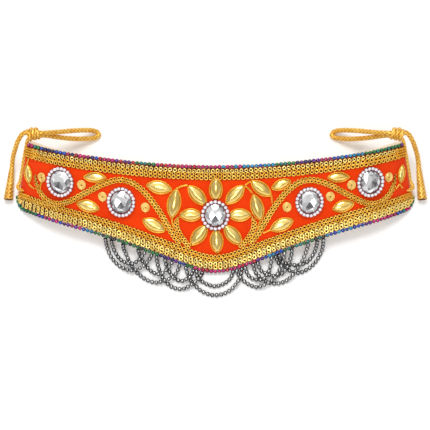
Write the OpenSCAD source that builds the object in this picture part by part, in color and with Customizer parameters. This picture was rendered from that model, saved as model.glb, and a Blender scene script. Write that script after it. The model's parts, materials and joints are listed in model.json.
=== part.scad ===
// Waist belt of folk jewellery, lying face up on a flat surface.
// The ornament is laid out on the flat pattern and wrapped on the bend of the belt:
// s runs along the belt from its centre, v up the belt and h out of its face.

/* [Belt] */
// Half length of the belt along the bend, at its end line and side height 112
end_half_length = 194.6; // [193.5:0.1:195]
// How far the end line leans outwards for each millimetre down the belt
end_lean = 0.28; // [0.27:0.01:0.29]
// Half width of the nearly flat middle of the bend
middle_half_width = 140; // [138:1:142]
// Bend angle at the border of the middle, in degrees
middle_angle = 7; // [6.5:0.1:7.5]
// Bend radius of the two ends
end_bend_radius = 95; // [93:1:98]
// Tilt of the lying belt towards its pointed lower edge, in degrees
tilt = 30; // [29.9:0.1:31]

/* [Borders] */
// Height of the top bead line at the middle of the belt
top_line_height = 105.7; // [105:0.1:107]
// Height of the bottom bead line, without its bow, at the middle of the belt
bottom_line_height = -10.8; // [-11.2:0.1:-10.6]
// Diameter of the seed beads along both edges
seed_bead_d = 3.4; // [3.2:0.1:3.4]
// Thickness of the braids and sequin rows
trim_thickness = 1.4; // [1.2:0.1:1.6]

/* [Cloth] */
// Thickness of the red face cloth
cloth_thickness = 1.3; // [1:0.1:1.4]
// Thickness of the padded backing
pad_thickness = 3.6; // [3:0.1:4]
// Gap between layers that lie on each other
layer_gap = 0.3; // [0.2:0.05:0.35]
// How far the padded backing stands above the beads at its top corners
corner_lip = 2.8; // [2.5:0.1:3.5]

/* [Stones] */
// Width of the large cut stones
crystal_d = 20.5; // [20:0.1:20.8]
// Height of a cut stone above its seat
crystal_height = 4.9; // [4:0.1:5.5]
// Diameter of the pearls
pearl_d = 3.4; // [3.2:0.1:3.4]
// Half width of a ring of pearls
pearl_ring_radius = 12.4; // [12.4:0.1:12.5]
// Radius of the thread in the pearls
thread_radius = 0.3; // [0.2:0.05:0.35]

/* [Gold ornament] */
// Height of the domed leaves
leaf_height = 2.4; // [1.8:0.1:2.8]
// Width of the vine braid
vine_width = 5.4; // [5:0.1:5.5]
// Width of the arcs that hold the flower
arc_width = 4.2; // [4:0.1:4.4]
// Width of the stems
stem_width = 1.5; // [1.2:0.1:1.6]
// Width of the spiral discs
disc_d = 9.2; // [8.8:0.1:9.4]

/* [Chains and cords] */
// Diameter of the ball chains
chain_d = 3.2; // [3:0.1:3.2]
// Diameter of the cord along the ends
edge_cord_d = 4.2; // [4:0.1:4.2]
// Diameter of the tie cords
tie_cord_d = 4.8; // [4.4:0.1:4.8]
// Length of a cord cap
cap_length = 30; // [28:1:31]

/* [Hidden] */

left = -1;
right = 1;

// The bend: a wide arc in the middle and a tight arc at each end
middle_radius = middle_half_width / sin(middle_angle);
middle_arc = middle_radius * middle_angle * PI / 180;
belt_half_width = 199;
end_angle = asin(sin(middle_angle) + (belt_half_width - middle_half_width) / end_bend_radius);
arch_height = middle_radius * (1 - cos(middle_angle))
    + end_bend_radius * (cos(middle_angle) - cos(end_angle));

// Heights above the face of the cloth
quilt_gap = 0.45;
pad_top = -cloth_thickness - quilt_gap;
pad_back = pad_top - pad_thickness;
trim_top = layer_gap + trim_thickness;
bead_h = 0.1;

// Strips beside the bead lines, as distances inwards from a bead line
cloth_inset = 1.95;
bottom_sequin_inset = [2.3, 9.9];
bottom_braid_inset = [10.2, 17.2];
top_sequin_inset = [2, 5.6];
top_braid_inset = [5.9, 13.4];
side_height = 112;
cord_side_gap = 2.7;
corner_radius = 7.5;
cloth_low_end = 204.5;
cloth_low_height = 65;
cloth_end_lean = 0.27;
trim_low_end = 206;
sequin_low_end = 203.5;
strip_end = 190;
bead_end_height = 122;
pad_top_inset = -0.6;
bow_radius = 21.5;
bow_slope = 0.5104;
bow_fall = 0.000901;
top_rise = 0.000609;
top_fall = 0.0000000039;
lip_start = 130;
lip_run = 55;

// The belt's place on the surface: the tip of the padded backing touches it
rest_lift = -((low_line(0) + cloth_inset) * sin(tilt) + (arch_height + pad_back) * cos(tilt));
back_shift = -36;

// Columns of a wrapped strip, as shares of its half length
column_count = 22;
COLUMNS = concat(
    [-1, -0.992, -0.975],
    [for (i = [-column_count:column_count]) i / (column_count + 1)],
    [0.975, 0.992, 1]
);

// Stones: s, v, pearls. A stone has a slim girdle, a break in its crown and a flat table.
STONES = [
    [-152, 88.5, 22],
    [-92, 70, 22],
    [0, 57.7, 20],
    [92, 70, 22],
    [152, 88.5, 22]
];
girdle_bevel = 0.8;
girdle_low = 1;
girdle_high = 1.6;
crown_share = 0.8;
crown_level = 0.66;
table_share = 0.5;
table_flat = 0.94;
pearl_hole_radius = thread_radius + 0.2;
thread_sides = 8;

// A stone, its pearls and a disc are a little taller than wide, as shares of their width
stone_tall = 1.09;
disc_tall = 1.13;

// Discs of each side: s, v
LEFT_DISCS = [[172.1, 91.3], [131, 86.2], [110.4, 74.8], [68.4, 64.8]];
RIGHT_DISCS = [[172.1, 91.6], [133.4, 86], [112.5, 75], [70.1, 65.2]];
disc_hole = 0.6;
disc_base = 0.6;

// Petals: angle round the middle stone, distance of the tip from its centre, length, lift of
// the tip. The tip of the upright petal lies on the top braid.
PETALS = [
    [0, 35.5, 23.4, 0], [46.6, 41, 26.2, 0], [88.8, 38.6, 25.6, 2], [131.8, 39.8, 27, 0],
    [180, 35.6, 23.4, 0], [231.8, 39.3, 27, 0], [272.8, 39.3, 25.6, 0], [310.4, 40.2, 27.2, 0]
];
petal_width = 13.8;
petal_cut_gap = 0.3;
leaf_rim = 0.9;
leaf_blunt = 0.4;

// Leaves: s and v of one tip, s and v of the other tip, width
LEFT_LEAVES = [
    [-189.8, 103, -188.3, 83.4, 11.2],
    [-129.6, 94.1, -105.7, 94.1, 11],
    [-136.6, 67.8, -113.3, 62.4, 13.2],
    [-67.6, 87.7, -41.6, 82.8, 14.2],
    [-71.6, 53, -48.6, 41, 14],
    [-37.5, 84.8, -43, 53.6, 14.2]
];
RIGHT_LEAVES = [
    [188.8, 103, 186.9, 83.6, 10],
    [108.6, 94.2, 132.2, 94.2, 11],
    [114.4, 62.3, 137, 67.9, 12.8],
    [54.2, 83.6, 74, 92, 11.2],
    [53.4, 42.2, 76.8, 52.4, 14],
    [36.8, 79.2, 44.9, 51, 13.4],
    [34.2, 92, 55, 76.4, 13]
];

// Middle lines of a vine, its flower arc and its stems: s, v, lift.
// The vine is lifted where it passes over the bottom braid.
VINE = [
    [179.8, 93, 0], [179.6, 88.5, 0], [178, 83, 0], [175.3, 77.4, 0], [171, 72.8, 0.8],
    [165, 68.8, 1.7], [159, 66.8, 1.7], [152.5, 66.8, 1.7], [146, 68.4, 0.8],
    [139.5, 71.2, 0], [130.5, 76.4, 0], [121.5, 81.2, 0], [111.5, 86.8, 0], [99, 91.3, 0],
    [90.5, 92, 0], [82.5, 90, 0], [75.5, 85.8, 0], [66.5, 77.2, 0], [56.5, 63.8, 0],
    [49, 51, 0], [43.5, 41, 0], [37.3, 32.5, 0]
];
ARC = [
    [35.7, 55.6, 0], [37.6, 52, 0], [38, 46.5, 0], [36.2, 41, 0], [33, 35.2, 0],
    [28.6, 29.4, 0]
];
LEFT_STEMS = [
    [[36.1, 85, 0], [32.4, 86.6, 0], [28.8, 87.4, 0]],
    [[42.3, 52.6, 0], [41.9, 49, 0], [40.9, 45.8, 0]],
    [[189.2, 104.4, 0], [188.2, 107.2, 0]],
    [[187, 82, 0], [185, 80.6, 0], [182.8, 79.6, 0]],
    [[173.2, 85, 0], [174, 82.2, 0]]
];
RIGHT_STEMS = [
    [[30.2, 88.4, 0], [32.8, 90.4, 0]],
    [[30.4, 85.6, 0], [32.8, 83.6, 0], [34.9, 81, 0]],
    [[54.9, 75, 0], [55.4, 71.4, 0]],
    [[52.4, 41.6, 0], [48.6, 39.8, 0]],
    [[43.2, 49.4, 0], [41.6, 45.4, 0]],
    [[184.4, 82, 0], [182.2, 79.8, 0]],
    [[186.5, 82, 0], [188.2, 79.8, 0]]
];

// Chains of a swag: each row has s of both ends and the points between them on the surface
SWAGS = [
    [
        [-108.5, -63, [
            [-108, -28, 7.8], [-106.5, -33, 2.4], [-103, -40.5, 1.7], [-95.5, -49, 1.7],
            [-85, -54.5, 4.3], [-78, -54, 5.4], [-71, -50.5, 5.1], [-65.5, -44.5, 6.3]]],
        [-102.5, -70, [
            [-102, -30, 7.3], [-99.5, -35, 2.4], [-94, -43, 2.6], [-85, -48, 5.1],
            [-78.5, -46.5, 5.1], [-73, -42.5, 8.4]]]
    ],
    [
        [-91, -35.5, [
            [-90.5, -33.5, 6.8], [-88, -38.5, 2], [-83.5, -48, 1.7], [-76.5, -57, 1.7],
            [-67, -64, 1.7], [-58, -66.5, 2.4], [-50.5, -65, 5.1], [-41.5, -61.5, 5.1],
            [-37, -54.5, 5.1]]],
        [-76, -43, [
            [-74.5, -39.5, 5.4], [-72.5, -44, 2.2], [-66.5, -52, 1.7], [-58.5, -58, 4],
            [-52, -57.5, 5.1], [-46.5, -52.5, 5.8]]]
    ],
    [
        [-58, -13, [
            [-57, -48, 3.6], [-54.5, -55.5, 1.7], [-50.5, -64, 1.7], [-43, -70.5, 1.7],
            [-34.5, -73, 1.7], [-26.5, -71, 4.2], [-19.5, -66, 5.1], [-15.3, -61.8, 5.5]]],
        [-49.5, -21.7, [
            [-48, -50, 3.2], [-45.5, -55, 1.7], [-41, -61.5, 1.7], [-33.5, -65, 2.6],
            [-26.5, -62.5, 5.1], [-24, -60.3, 5.4]]]
    ],
    [
        [-29, 26, [
            [-27.5, -57, 2.2], [-24, -64.5, 1.7], [-15.5, -73.5, 1.7], [-7, -78, 1.7],
            [0.5, -79, 1.7], [8.5, -77.5, 1.7], [15.5, -73.5, 2.4], [21.5, -67, 5.1],
            [24.8, -61.5, 5.5]]],
        [-18.6, 17.5, [
            [-17, -62, 1.7], [-9, -67.5, 1.7], [-1, -70, 1.7], [7.5, -68, 1.7],
            [14.5, -62.5, 1.7]]]
    ],
    [
        [21.3, 68.2, [
            [24.3, -61, 1.7], [31, -67, 1.7], [40, -71, 2], [46.5, -70, 4.4],
            [54, -66, 5.1], [59.5, -61.5, 5.1], [63.5, -54, 5.1], [66.6, -46.5, 7.3], [67.8, -42, 9.8]]],
        [29.5, 55.5, [
            [32, -58, 1.8], [36, -62, 1.7], [41.5, -64, 3.2], [47, -63.5, 5.1],
            [51, -59, 5.1], [54, -52, 5.4]]]
    ],
    [
        [37.5, 91.5, [
            [40, -56.5, 2], [46, -62.5, 1.7], [52.5, -66, 1.7], [60, -67.5, 1.7],
            [68, -65.5, 1.7], [74, -61.5, 4], [79, -55.5, 5.1], [84.5, -47.5, 5.1],
            [89, -38, 7.3]]],
        [42, 75.5, [
            [45, -54, 2], [51, -57.5, 1.7], [58, -59.5, 1.7], [64, -58.5, 2],
            [69.5, -54, 5.1], [72.5, -48, 5.1], [75, -40.5, 7.3]]]
    ],
    [
        [59.5, 106.5, [
            [62, -46, 3], [66.5, -49.5, 1.7], [73, -54, 1.7], [82.5, -56.5, 1.7],
            [91.5, -52.5, 1.7], [99.5, -45, 1.7], [105, -35.5, 3], [106.5, -29.5, 8.3]]],
        [63, 100.5, [
            [65.4, -44, 3.2], [70, -47, 1.7], [77, -48.5, 1.7], [85, -48, 1.7],
            [92.5, -44, 1.7], [98, -36, 2.6], [100, -31, 7.8]]]
    ]
];
chain_h = -0.6;

// Cord along an end, on the bend: how far inside the end line, v, h
EDGE_CORD = [
    [0, 129, -1.5], [0, 123.5, -1.5], [0, 117, -1.5], [0, 110, -1.5], [0, 103, -1.5], [0, 96, -1.5],
    [0, 89, -1.5], [0, 82.5, -1.2], [0.2, 79.7, 0.7], [1.8, 77.6, 2.2], [4.6, 76.4, 2.5],
    [7.6, 75.9, 2.5], [11, 75.4, 2.5]
];

// Routes of the right loop and tail, mirrored for the left ones
LOOP = [
    [172.3, 74.5, 44.8], [170, 74.7, 44.5], [162, 77.3, 38.4], [153, 80.9, 30.5],
    [144, 84.5, 23], [135, 87.7, 15.5], [127.5, 90, 9], [122.3, 90.7, 4.8],
    [119, 89.2, 2.9], [118.3, 87, 2.6], [120, 84.8, 2.9], [124, 83, 4.6],
    [130, 81.1, 8.5], [138, 79.1, 14], [147, 77.4, 20.5], [157, 76.1, 28],
    [165, 75.2, 34.6], [170, 74.2, 39.2], [172.3, 74, 39.6]
];
TAIL = [
    [187, 75.9, 42.3], [189.6, 75.2, 41.6], [192.4, 72.9, 39.4], [196, 68.6, 34], [199.3, 64, 25.5],
    [201.8, 60, 18], [203.1, 56.6, 12.8], [203.8, 53.6, 9.6], [204.1, 50.8, 8],
    [204.3, 48.3, 7.6]
];
knot_place = [179.6, 74.6, 42.3];
knot_turn_d = 5;
knot_pitch = 0.84;
knot_radius = 4;
cap_place = [204.3, 48, 7.6];
cap_turn = 5;
cap_drop = 5;
cap_radius = [2.8, 4.9];
cap_wall = 0.9;
cap_floor = 3;

// Where the first side of a tube's ring looks
first_side = [0.1, 0.2, 1];

// Bend angle in degrees at a distance s along the belt
function bend_angle(s) = abs(s) <= middle_arc
    ? s / middle_radius * 180 / PI
    : sign(s) * (middle_angle + (abs(s) - middle_arc) / end_bend_radius * 180 / PI);

// Sideways distance and height of the bend at a distance s
function bend_across(s) = abs(s) <= middle_arc
    ? middle_radius * sin(bend_angle(s))
    : sign(s) * (middle_half_width
        + end_bend_radius * (sin(abs(bend_angle(s))) - sin(middle_angle)));
function bend_height(s) = abs(s) <= middle_arc
    ? arch_height - middle_radius * (1 - cos(bend_angle(s)))
    : arch_height - middle_radius * (1 - cos(middle_angle))
        - end_bend_radius * (cos(middle_angle) - cos(bend_angle(s)));

// A point on the belt: s along it, v up it and h out of its face
function on_belt(s, v, h) =
    let (
        x = bend_across(s) + h * sin(bend_angle(s)),
        w = bend_height(s) + h * cos(bend_angle(s))
    )
    [x, v * cos(tilt) - w * sin(tilt) + back_shift, v * sin(tilt) + w * cos(tilt) + rest_lift];

// The two bead lines, how they slope, and the end line
function low_line(s) = bottom_line_height + bow_slope * sqrt(s * s + bow_radius * bow_radius)
    - bow_fall * s * s;
function low_slope(s) = bow_slope * s / sqrt(s * s + bow_radius * bow_radius) - 2 * bow_fall * s;
function top_line(s) = top_line_height + top_rise * s * s - top_fall * pow(s, 4);
function top_slope(s) = 2 * top_rise * s - 4 * top_fall * pow(s, 3);
function end_line(v) = end_half_length + end_lean * (side_height - v);
function cloth_end(v) = cloth_low_end - cloth_end_lean * (v - cloth_low_height);

// Rise of the low edge round a bottom corner of the cloth, outwards of it by some distance
function corner_rise(s, outwards) =
    let (
        r = corner_radius + outwards,
        into = abs(s) - (cloth_low_end - corner_radius)
    )
    into <= 0 ? 0 : r - sqrt(max(0, r * r - into * into));
function square_length(slope) = sqrt(1 + slope * slope);
function above_low(s, inset) = low_line(s) + inset * square_length(low_slope(s));
function below_top(s, inset) = top_line(s) - inset * square_length(top_slope(s));

// Smooth curve through points, with some steps between two of them
function curve_point(p, i, t) =
    let (
        n = len(p) - 1,
        a = p[max(i - 1, 0)], b = p[i], c = p[min(i + 1, n)], d = p[min(i + 2, n)]
    )
    0.5 * (2 * b + (c - a) * t + (2 * a - 5 * b + 4 * c - d) * t * t
        + (3 * b - a - 3 * c + d) * t * t * t);
function smooth(p, steps) = concat(
    [for (i = [0:len(p) - 2]) for (k = [0:steps - 1]) curve_point(p, i, k / steps)],
    [p[len(p) - 1]]
);
function along(p, i) =
    let (d = p[min(i + 1, len(p) - 1)] - p[max(i - 1, 0)])
    d / norm(d);
function mirror_x(p) = [for (q = p) [-q[0], q[1], q[2]]];

// A side direction carried along a path without twisting
function carried(path, i, side) = i == len(path) ? [] :
    let (
        t = along(path, i),
        n = side - (side * t) * t,
        u = n / norm(n)
    )
    concat([u], carried(path, i + 1, u));
function tube_rings(path, radius, sides) =
    let (side = carried(path, 0, first_side))
    [for (i = [0:len(path) - 1])
        let (n = side[i], b = cross(along(path, i), n))
        [for (k = [0:sides - 1])
            path[i] + radius * (cos(360 * k / sides) * n - sin(360 * k / sides) * b)]];

// One closed skin through rings of points of equal count
module loft(rings) {
    n = len(rings[0]);
    last = (len(rings) - 1) * n;
    skin = [for (i = [0:len(rings) - 2]) for (k = [0:n - 1])
        let (a = i * n + k, b = i * n + (k + 1) % n)
        each [[a, b, b + n], [a, b + n, a + n]]];
    first_cap = [for (k = [1:n - 2]) [0, k + 1, k]];
    last_cap = [for (k = [1:n - 2]) [last, last + k, last + k + 1]];
    polyhedron([for (r = rings) each r], concat(skin, first_cap, last_cap));
}

// Turns a closed outline of radius and height round Z, as an oval that is taller than wide
module oval_turn(outline, tall, steps) {
    n = len(outline);
    polyhedron(
        [for (i = [0:steps - 1])
            let (a = 360 * i / steps)
            each [for (p = outline) [p[0] * cos(a), tall * p[0] * sin(a), p[1]]]],
        [for (i = [0:steps - 1]) for (k = [0:n - 1])
            let (a = i * n + k, b = i * n + (k + 1) % n, next = (i + 1) % steps * n)
            each [[a, b, next + (k + 1) % n], [a, next + (k + 1) % n, next + k]]]);
}

module tube(path, diameter, sides = 8) {
    loft(tube_rings(path, diameter / 2, sides));
}

// A wide layer of the belt between the two edges
module layer(top_inset, lip, bottom, top) {
    loft([for (t = COLUMNS)
        let (
            low_s = t * cloth_low_end,
            low_v = above_low(low_s, cloth_inset) + corner_rise(low_s, 0),
            top_s = t * cloth_end(below_top(t * cloth_low_end, top_inset)),
            lip_share = max(0, min(1, (abs(top_s) - lip_start) / lip_run)),
            top_v = below_top(top_s, top_inset) + lip * lip_share,
            middle = [(low_s + top_s) / 2, (low_v + top_v) / 2]
        )
        [
            on_belt(low_s, low_v, top), on_belt(middle[0], middle[1], top),
            on_belt(top_s, top_v, top), on_belt(top_s, top_v, bottom),
            on_belt(middle[0], middle[1], bottom), on_belt(low_s, low_v, bottom)
        ]]);
}

// A strip of trim along the bottom edge, and one along the top edge
module bottom_strip(inset) {
    outwards = cloth_inset - inset[0];
    loft([for (t = COLUMNS)
        let (
            a = t * (inset[0] > corner_radius ? trim_low_end : sequin_low_end),
            b = t * trim_low_end,
            rise = inset[0] > corner_radius ? 0 : corner_rise(a, outwards)
        )
        strip_ring([a, above_low(a, inset[0]) + rise, 0], [b, above_low(b, inset[1]), 0])]);
}
module top_strip(inset) {
    ends = [for (d = inset) end_line(below_top(strip_end, d)) - cord_side_gap];
    loft([for (t = COLUMNS)
        let (a = t * ends[0], b = t * ends[1])
        strip_ring([b, below_top(b, inset[1]), 0], [a, below_top(a, inset[0]), 0])]);
}
function strip_ring(low, high) = [
    on_belt(low[0], low[1], low[2] + trim_top), on_belt(high[0], high[1], high[2] + trim_top),
    on_belt(high[0], high[1], high[2] + layer_gap), on_belt(low[0], low[1], low[2] + layer_gap)
];

// A band of braid that follows points on the flat pattern
module band(points, width, side, steps) {
    path = [for (q = smooth(points, steps)) [side * q[0], q[1], q[2]]];
    loft([for (i = [0:len(path) - 1])
        let (
            t = along(path, i),
            across = width / 2 / norm([t[0], t[1]]) * [-t[1], t[0], 0]
        )
        strip_ring(path[i] - across, path[i] + across)]);
}

// A domed leaf between two tips, with a flat cut at its first tip if cut is over 0,
// and its end tip lifted off the cloth by lift
module leaf(start, end, width, cut = 0, lift = 0) {
    length = norm(end - start);
    t = (end - start) / length;
    across = [-t[1], t[0]];
    arc_r = (length * length / 4 + width * width / 4) / width;
    first = max(cut, leaf_blunt);
    shares = [0, 0.1, 0.25, 0.4, 0.5, 0.6, 0.75, 0.9, 1];
    loft([for (k = shares)
        let (
            x = first + k * (length - leaf_blunt - first),
            from_middle = x - length / 2,
            half = max(leaf_blunt, sqrt(arc_r * arc_r - from_middle * from_middle) - arc_r + width / 2),
            share = half / (width / 2),
            base = layer_gap + lift * x / length,
            rim = base + leaf_rim,
            crown = rim + (leaf_height - leaf_rim) * sqrt(share),
            c = start + x * t,
            a = c - half * across,
            b = c + half * across
        )
        [
            on_belt(a[0], a[1], base), on_belt(a[0], a[1], rim),
            on_belt(c[0], c[1], crown),
            on_belt(b[0], b[1], rim), on_belt(b[0], b[1], base)
        ]]);
}

// Places a child on the face of the belt, with its Z axis straight out of it
module seat(s, v, h = layer_gap) {
    translate(on_belt(s, v, h)) rotate([tilt, 0, 0]) rotate([0, bend_angle(s), 0]) children();
}

module backing_pad() {
    color("wheat") layer(pad_top_inset, corner_lip, pad_back, pad_top);
}

module face_cloth() {
    color("orangered") layer(cloth_inset, 0, -cloth_thickness, 0);
}

module top_sequins() {
    color("khaki") top_strip(top_sequin_inset);
}

module top_braid() {
    color("goldenrod") top_strip(top_braid_inset);
}

module bottom_sequins() {
    color("khaki") bottom_strip(bottom_sequin_inset);
}

module bottom_braid() {
    color("goldenrod") bottom_strip(bottom_braid_inset);
}

module top_bead_string() {
    half = end_line(bead_end_height) - cord_side_gap - seed_bead_d / 2;
    color("mediumvioletred") tube(
        [for (t = COLUMNS) on_belt(t * half, top_line(t * half), bead_h)], seed_bead_d);
}

module bottom_bead_string() {
    half = cloth_low_end + seed_bead_d / 2;
    color("seagreen") tube([for (t = COLUMNS)
        on_belt(t * half, low_line(t * half) + corner_rise(t * half, cloth_inset), bead_h)],
        seed_bead_d);
}

module vine(side, stems) {
    color("gold") {
        band(VINE, vine_width, side, 2);
        band(ARC, arc_width, side, 2);
        for (stem = stems) band(stem, stem_width, side, 1);
    }
}

// Distance of a petal's cut from the middle stone's centre, just outside the oval of pearls
function petal_cut_radius(angle) =
    stone_tall * (pearl_ring_radius + pearl_d / 2 + petal_cut_gap)
    / norm([stone_tall * cos(angle), sin(angle)]);

module petal(i) {
    row = PETALS[i];
    centre = [STONES[2][0], STONES[2][1]];
    out = [cos(row[0]), sin(row[0])];
    tip = centre + row[1] * out;
    start = tip - row[2] * out;
    cut = petal_cut_radius(row[0]) - (row[1] - row[2]);
    color("gold") leaf(start, tip, petal_width, cut, row[3]);
}

module gold_leaf(row) {
    color("gold") leaf([row[0], row[1]], [row[2], row[3]], row[4]);
}

// An oval stone with a flat table, eight crown faces on each level and a slim girdle
module crystal(i) {
    girdle = crystal_d / 2;
    sides = 16;
    levels = [
        [girdle - girdle_bevel, 0, 1], [girdle, girdle_low, 1], [girdle, girdle_high, 1],
        [crown_share * girdle, crown_level * crystal_height, 1],
        [table_share * girdle, crystal_height, table_flat]
    ];
    color("whitesmoke") seat(STONES[i][0], STONES[i][1])
        loft([for (level = levels)
            [for (k = [0:sides - 1])
                let (r = level[0] * (k % 2 == 0 ? 1 : level[2]), a = -360 * k / sides)
                [r * cos(a), stone_tall * r * sin(a), level[1]]]]);
}

module pearl_ring(i) {
    count = STONES[i][2];
    color("white") seat(STONES[i][0], STONES[i][1], layer_gap + pearl_d / 2)
        for (k = [0:count - 1])
            let (a = 360 * k / count)
            translate(pearl_ring_radius * [cos(a), stone_tall * sin(a), 0])
                rotate([0, 0, atan2(sin(a), stone_tall * cos(a))]) difference() {
                    sphere(d = pearl_d, $fn = 24);
                    rotate([90, 0, 0])
                        cylinder(h = 2 * pearl_d, r = pearl_hole_radius, center = true, $fn = 24);
                }
}

module pearl_threads() {
    color("white") for (stone = STONES)
        seat(stone[0], stone[1], layer_gap + pearl_d / 2)
            oval_turn([for (k = [0:thread_sides - 1])
                let (a = 360 * k / thread_sides)
                [pearl_ring_radius + thread_radius * cos(a), thread_radius * sin(a)]],
                stone_tall, 48);
}

// Discs of coiled gold wire: raised rings round a small hole
module discs(side) {
    ridge = disc_d / 8;
    color("khaki") for (place = side < 0 ? LEFT_DISCS : RIGHT_DISCS)
        seat(side * place[0], place[1])
            oval_turn(concat(
                [[disc_hole, 0], [disc_d / 2, 0]],
                [for (k = [3:-1:1]) for (a = [0:45:180])
                    [(k + 0.5 + cos(a) / 2) * ridge, disc_base + ridge / 2 * sin(a)]],
                [[disc_hole, disc_base]]),
                disc_tall, 24);
}

// The end of a chain hangs just below the bottom bead line
function hang_point(s) =
    on_belt(s, above_low(s, -(seed_bead_d + chain_d) / 2 - layer_gap), chain_h);

module swag(i) {
    color("dimgray") for (chain = SWAGS[i])
        tube(concat([hang_point(chain[0])], chain[2], [hang_point(chain[1])]), chain_d);
}

module edge_cord(side) {
    color("goldenrod") {
        tube([for (p = EDGE_CORD) on_belt(side * (end_line(p[1]) - p[0]), p[1], p[2])], edge_cord_d);
        translate([side * knot_place[0], knot_place[1], knot_place[2]]) rotate([0, 90, 0]) knot();
    }
}

// Three turns of cord side by side
module knot() {
    step = knot_pitch * knot_turn_d;
    cylinder(h = 2 * step, r = knot_radius, center = true, $fn = 48);
    for (k = [-1:1])
        translate([0, 0, k * step])
            rotate_extrude($fn = 48) translate([knot_radius, 0]) circle(d = knot_turn_d, $fn = 24);
}

module loop(side) {
    color("goldenrod") tube(side < 0 ? mirror_x(LOOP) : LOOP, tie_cord_d, 10);
}

module tail(side) {
    color("goldenrod") tube(side < 0 ? mirror_x(TAIL) : TAIL, tie_cord_d, 10);
}

// A tapered cap on the end of a tail, hollow at its wide end
module end_cap(side) {
    color("darkgoldenrod")
        translate([side * cap_place[0], cap_place[1], cap_place[2]])
            rotate([90 + cap_drop, 0, side * cap_turn])
                rotate_extrude($fn = 48)
                    polygon([
                        [0, 0], [cap_radius[0], 0], [cap_radius[1], cap_length],
                        [cap_radius[1] - cap_wall, cap_length],
                        [cap_radius[0] - cap_wall, cap_floor], [0, cap_floor]
                    ]);
}

backing_pad();
face_cloth();
top_sequins();
top_braid();
bottom_sequins();
bottom_braid();
top_bead_string();
bottom_bead_string();
vine(left, LEFT_STEMS);  // vine_left
vine(right, RIGHT_STEMS);  // vine_right
petal(0);  // petal_1
petal(1);  // petal_2
petal(2);  // petal_3
petal(3);  // petal_4
petal(4);  // petal_5
petal(5);  // petal_6
petal(6);  // petal_7
petal(7);  // petal_8
gold_leaf(LEFT_LEAVES[0]);  // leaf_left_1
gold_leaf(LEFT_LEAVES[1]);  // leaf_left_2
gold_leaf(LEFT_LEAVES[2]);  // leaf_left_3
gold_leaf(LEFT_LEAVES[3]);  // leaf_left_4
gold_leaf(LEFT_LEAVES[4]);  // leaf_left_5
gold_leaf(LEFT_LEAVES[5]);  // leaf_left_6
gold_leaf(RIGHT_LEAVES[0]);  // leaf_right_1
gold_leaf(RIGHT_LEAVES[1]);  // leaf_right_2
gold_leaf(RIGHT_LEAVES[2]);  // leaf_right_3
gold_leaf(RIGHT_LEAVES[3]);  // leaf_right_4
gold_leaf(RIGHT_LEAVES[4]);  // leaf_right_5
gold_leaf(RIGHT_LEAVES[5]);  // leaf_right_6
gold_leaf(RIGHT_LEAVES[6]);  // leaf_right_7
crystal(0);  // crystal_1
crystal(1);  // crystal_2
crystal(2);  // crystal_3
crystal(3);  // crystal_4
crystal(4);  // crystal_5
pearl_ring(0);  // pearl_ring_1
pearl_ring(1);  // pearl_ring_2
pearl_ring(2);  // pearl_ring_3
pearl_ring(3);  // pearl_ring_4
pearl_ring(4);  // pearl_ring_5
pearl_threads();
discs(left);  // discs_left
discs(right);  // discs_right
swag(0);  // swag_1
swag(1);  // swag_2
swag(2);  // swag_3
swag(3);  // swag_4
swag(4);  // swag_5
swag(5);  // swag_6
swag(6);  // swag_7
edge_cord(left);  // edge_cord_left
edge_cord(right);  // edge_cord_right
loop(left);  // loop_left
loop(right);  // loop_right
tail(left);  // tail_left
tail(right);  // tail_right
end_cap(left);  // end_cap_left
end_cap(right);  // end_cap_right
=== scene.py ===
"""Waist belt of folk jewellery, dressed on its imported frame.

The belt lies face up on a pale surface, bowed, and tilted towards its pointed lower edge.
Its ornament is laid out on the flat pattern in millimetres: s runs along the belt from its
centre, v up the belt and h out of its face. The bend of the belt turns a place on the
pattern into metres in the frame. Routes of cords and chains are points in the frame.
"""

import json
import logging
import math
import random
from dataclasses import dataclass
from enum import Enum
from typing import Callable, Iterable, Optional, Sequence

import bmesh
import bpy
import numpy as np
from mathutils import Matrix, Vector

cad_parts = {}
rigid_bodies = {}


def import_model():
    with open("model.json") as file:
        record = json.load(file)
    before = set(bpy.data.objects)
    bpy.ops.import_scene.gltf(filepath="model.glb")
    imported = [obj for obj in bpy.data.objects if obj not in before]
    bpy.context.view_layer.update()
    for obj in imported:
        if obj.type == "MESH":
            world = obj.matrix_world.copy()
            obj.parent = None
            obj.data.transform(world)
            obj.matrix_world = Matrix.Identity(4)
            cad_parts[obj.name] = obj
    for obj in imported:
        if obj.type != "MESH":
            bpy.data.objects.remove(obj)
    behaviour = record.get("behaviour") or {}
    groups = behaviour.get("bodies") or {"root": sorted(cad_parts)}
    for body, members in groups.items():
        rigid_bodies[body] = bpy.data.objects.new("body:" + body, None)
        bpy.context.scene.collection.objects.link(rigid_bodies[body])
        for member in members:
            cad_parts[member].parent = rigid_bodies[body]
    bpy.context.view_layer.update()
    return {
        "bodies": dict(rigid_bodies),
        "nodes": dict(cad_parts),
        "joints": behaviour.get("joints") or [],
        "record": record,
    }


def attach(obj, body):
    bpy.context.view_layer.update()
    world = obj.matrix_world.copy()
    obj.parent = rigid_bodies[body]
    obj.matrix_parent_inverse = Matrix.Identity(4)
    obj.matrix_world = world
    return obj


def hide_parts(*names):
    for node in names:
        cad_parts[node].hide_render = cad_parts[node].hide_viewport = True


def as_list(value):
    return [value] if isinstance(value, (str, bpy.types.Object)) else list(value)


LOG = logging.getLogger("waist_belt")
MM = 0.001
THREAD_STEP = 0.0004  # metres between points of a thread
BASE_H = 0.3  # height of an ornament's base over the cloth, in millimetres
BODY = "root"

Colour = tuple[float, float, float]
Point = tuple[float, float, float]
Route = tuple[Point, ...]
Socket = bpy.types.NodeSocket
Thing = bpy.types.Object
Array = np.ndarray
Values = Array | float
Relief = Callable[[Array, Array], Array]


# The pattern and its bend


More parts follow.
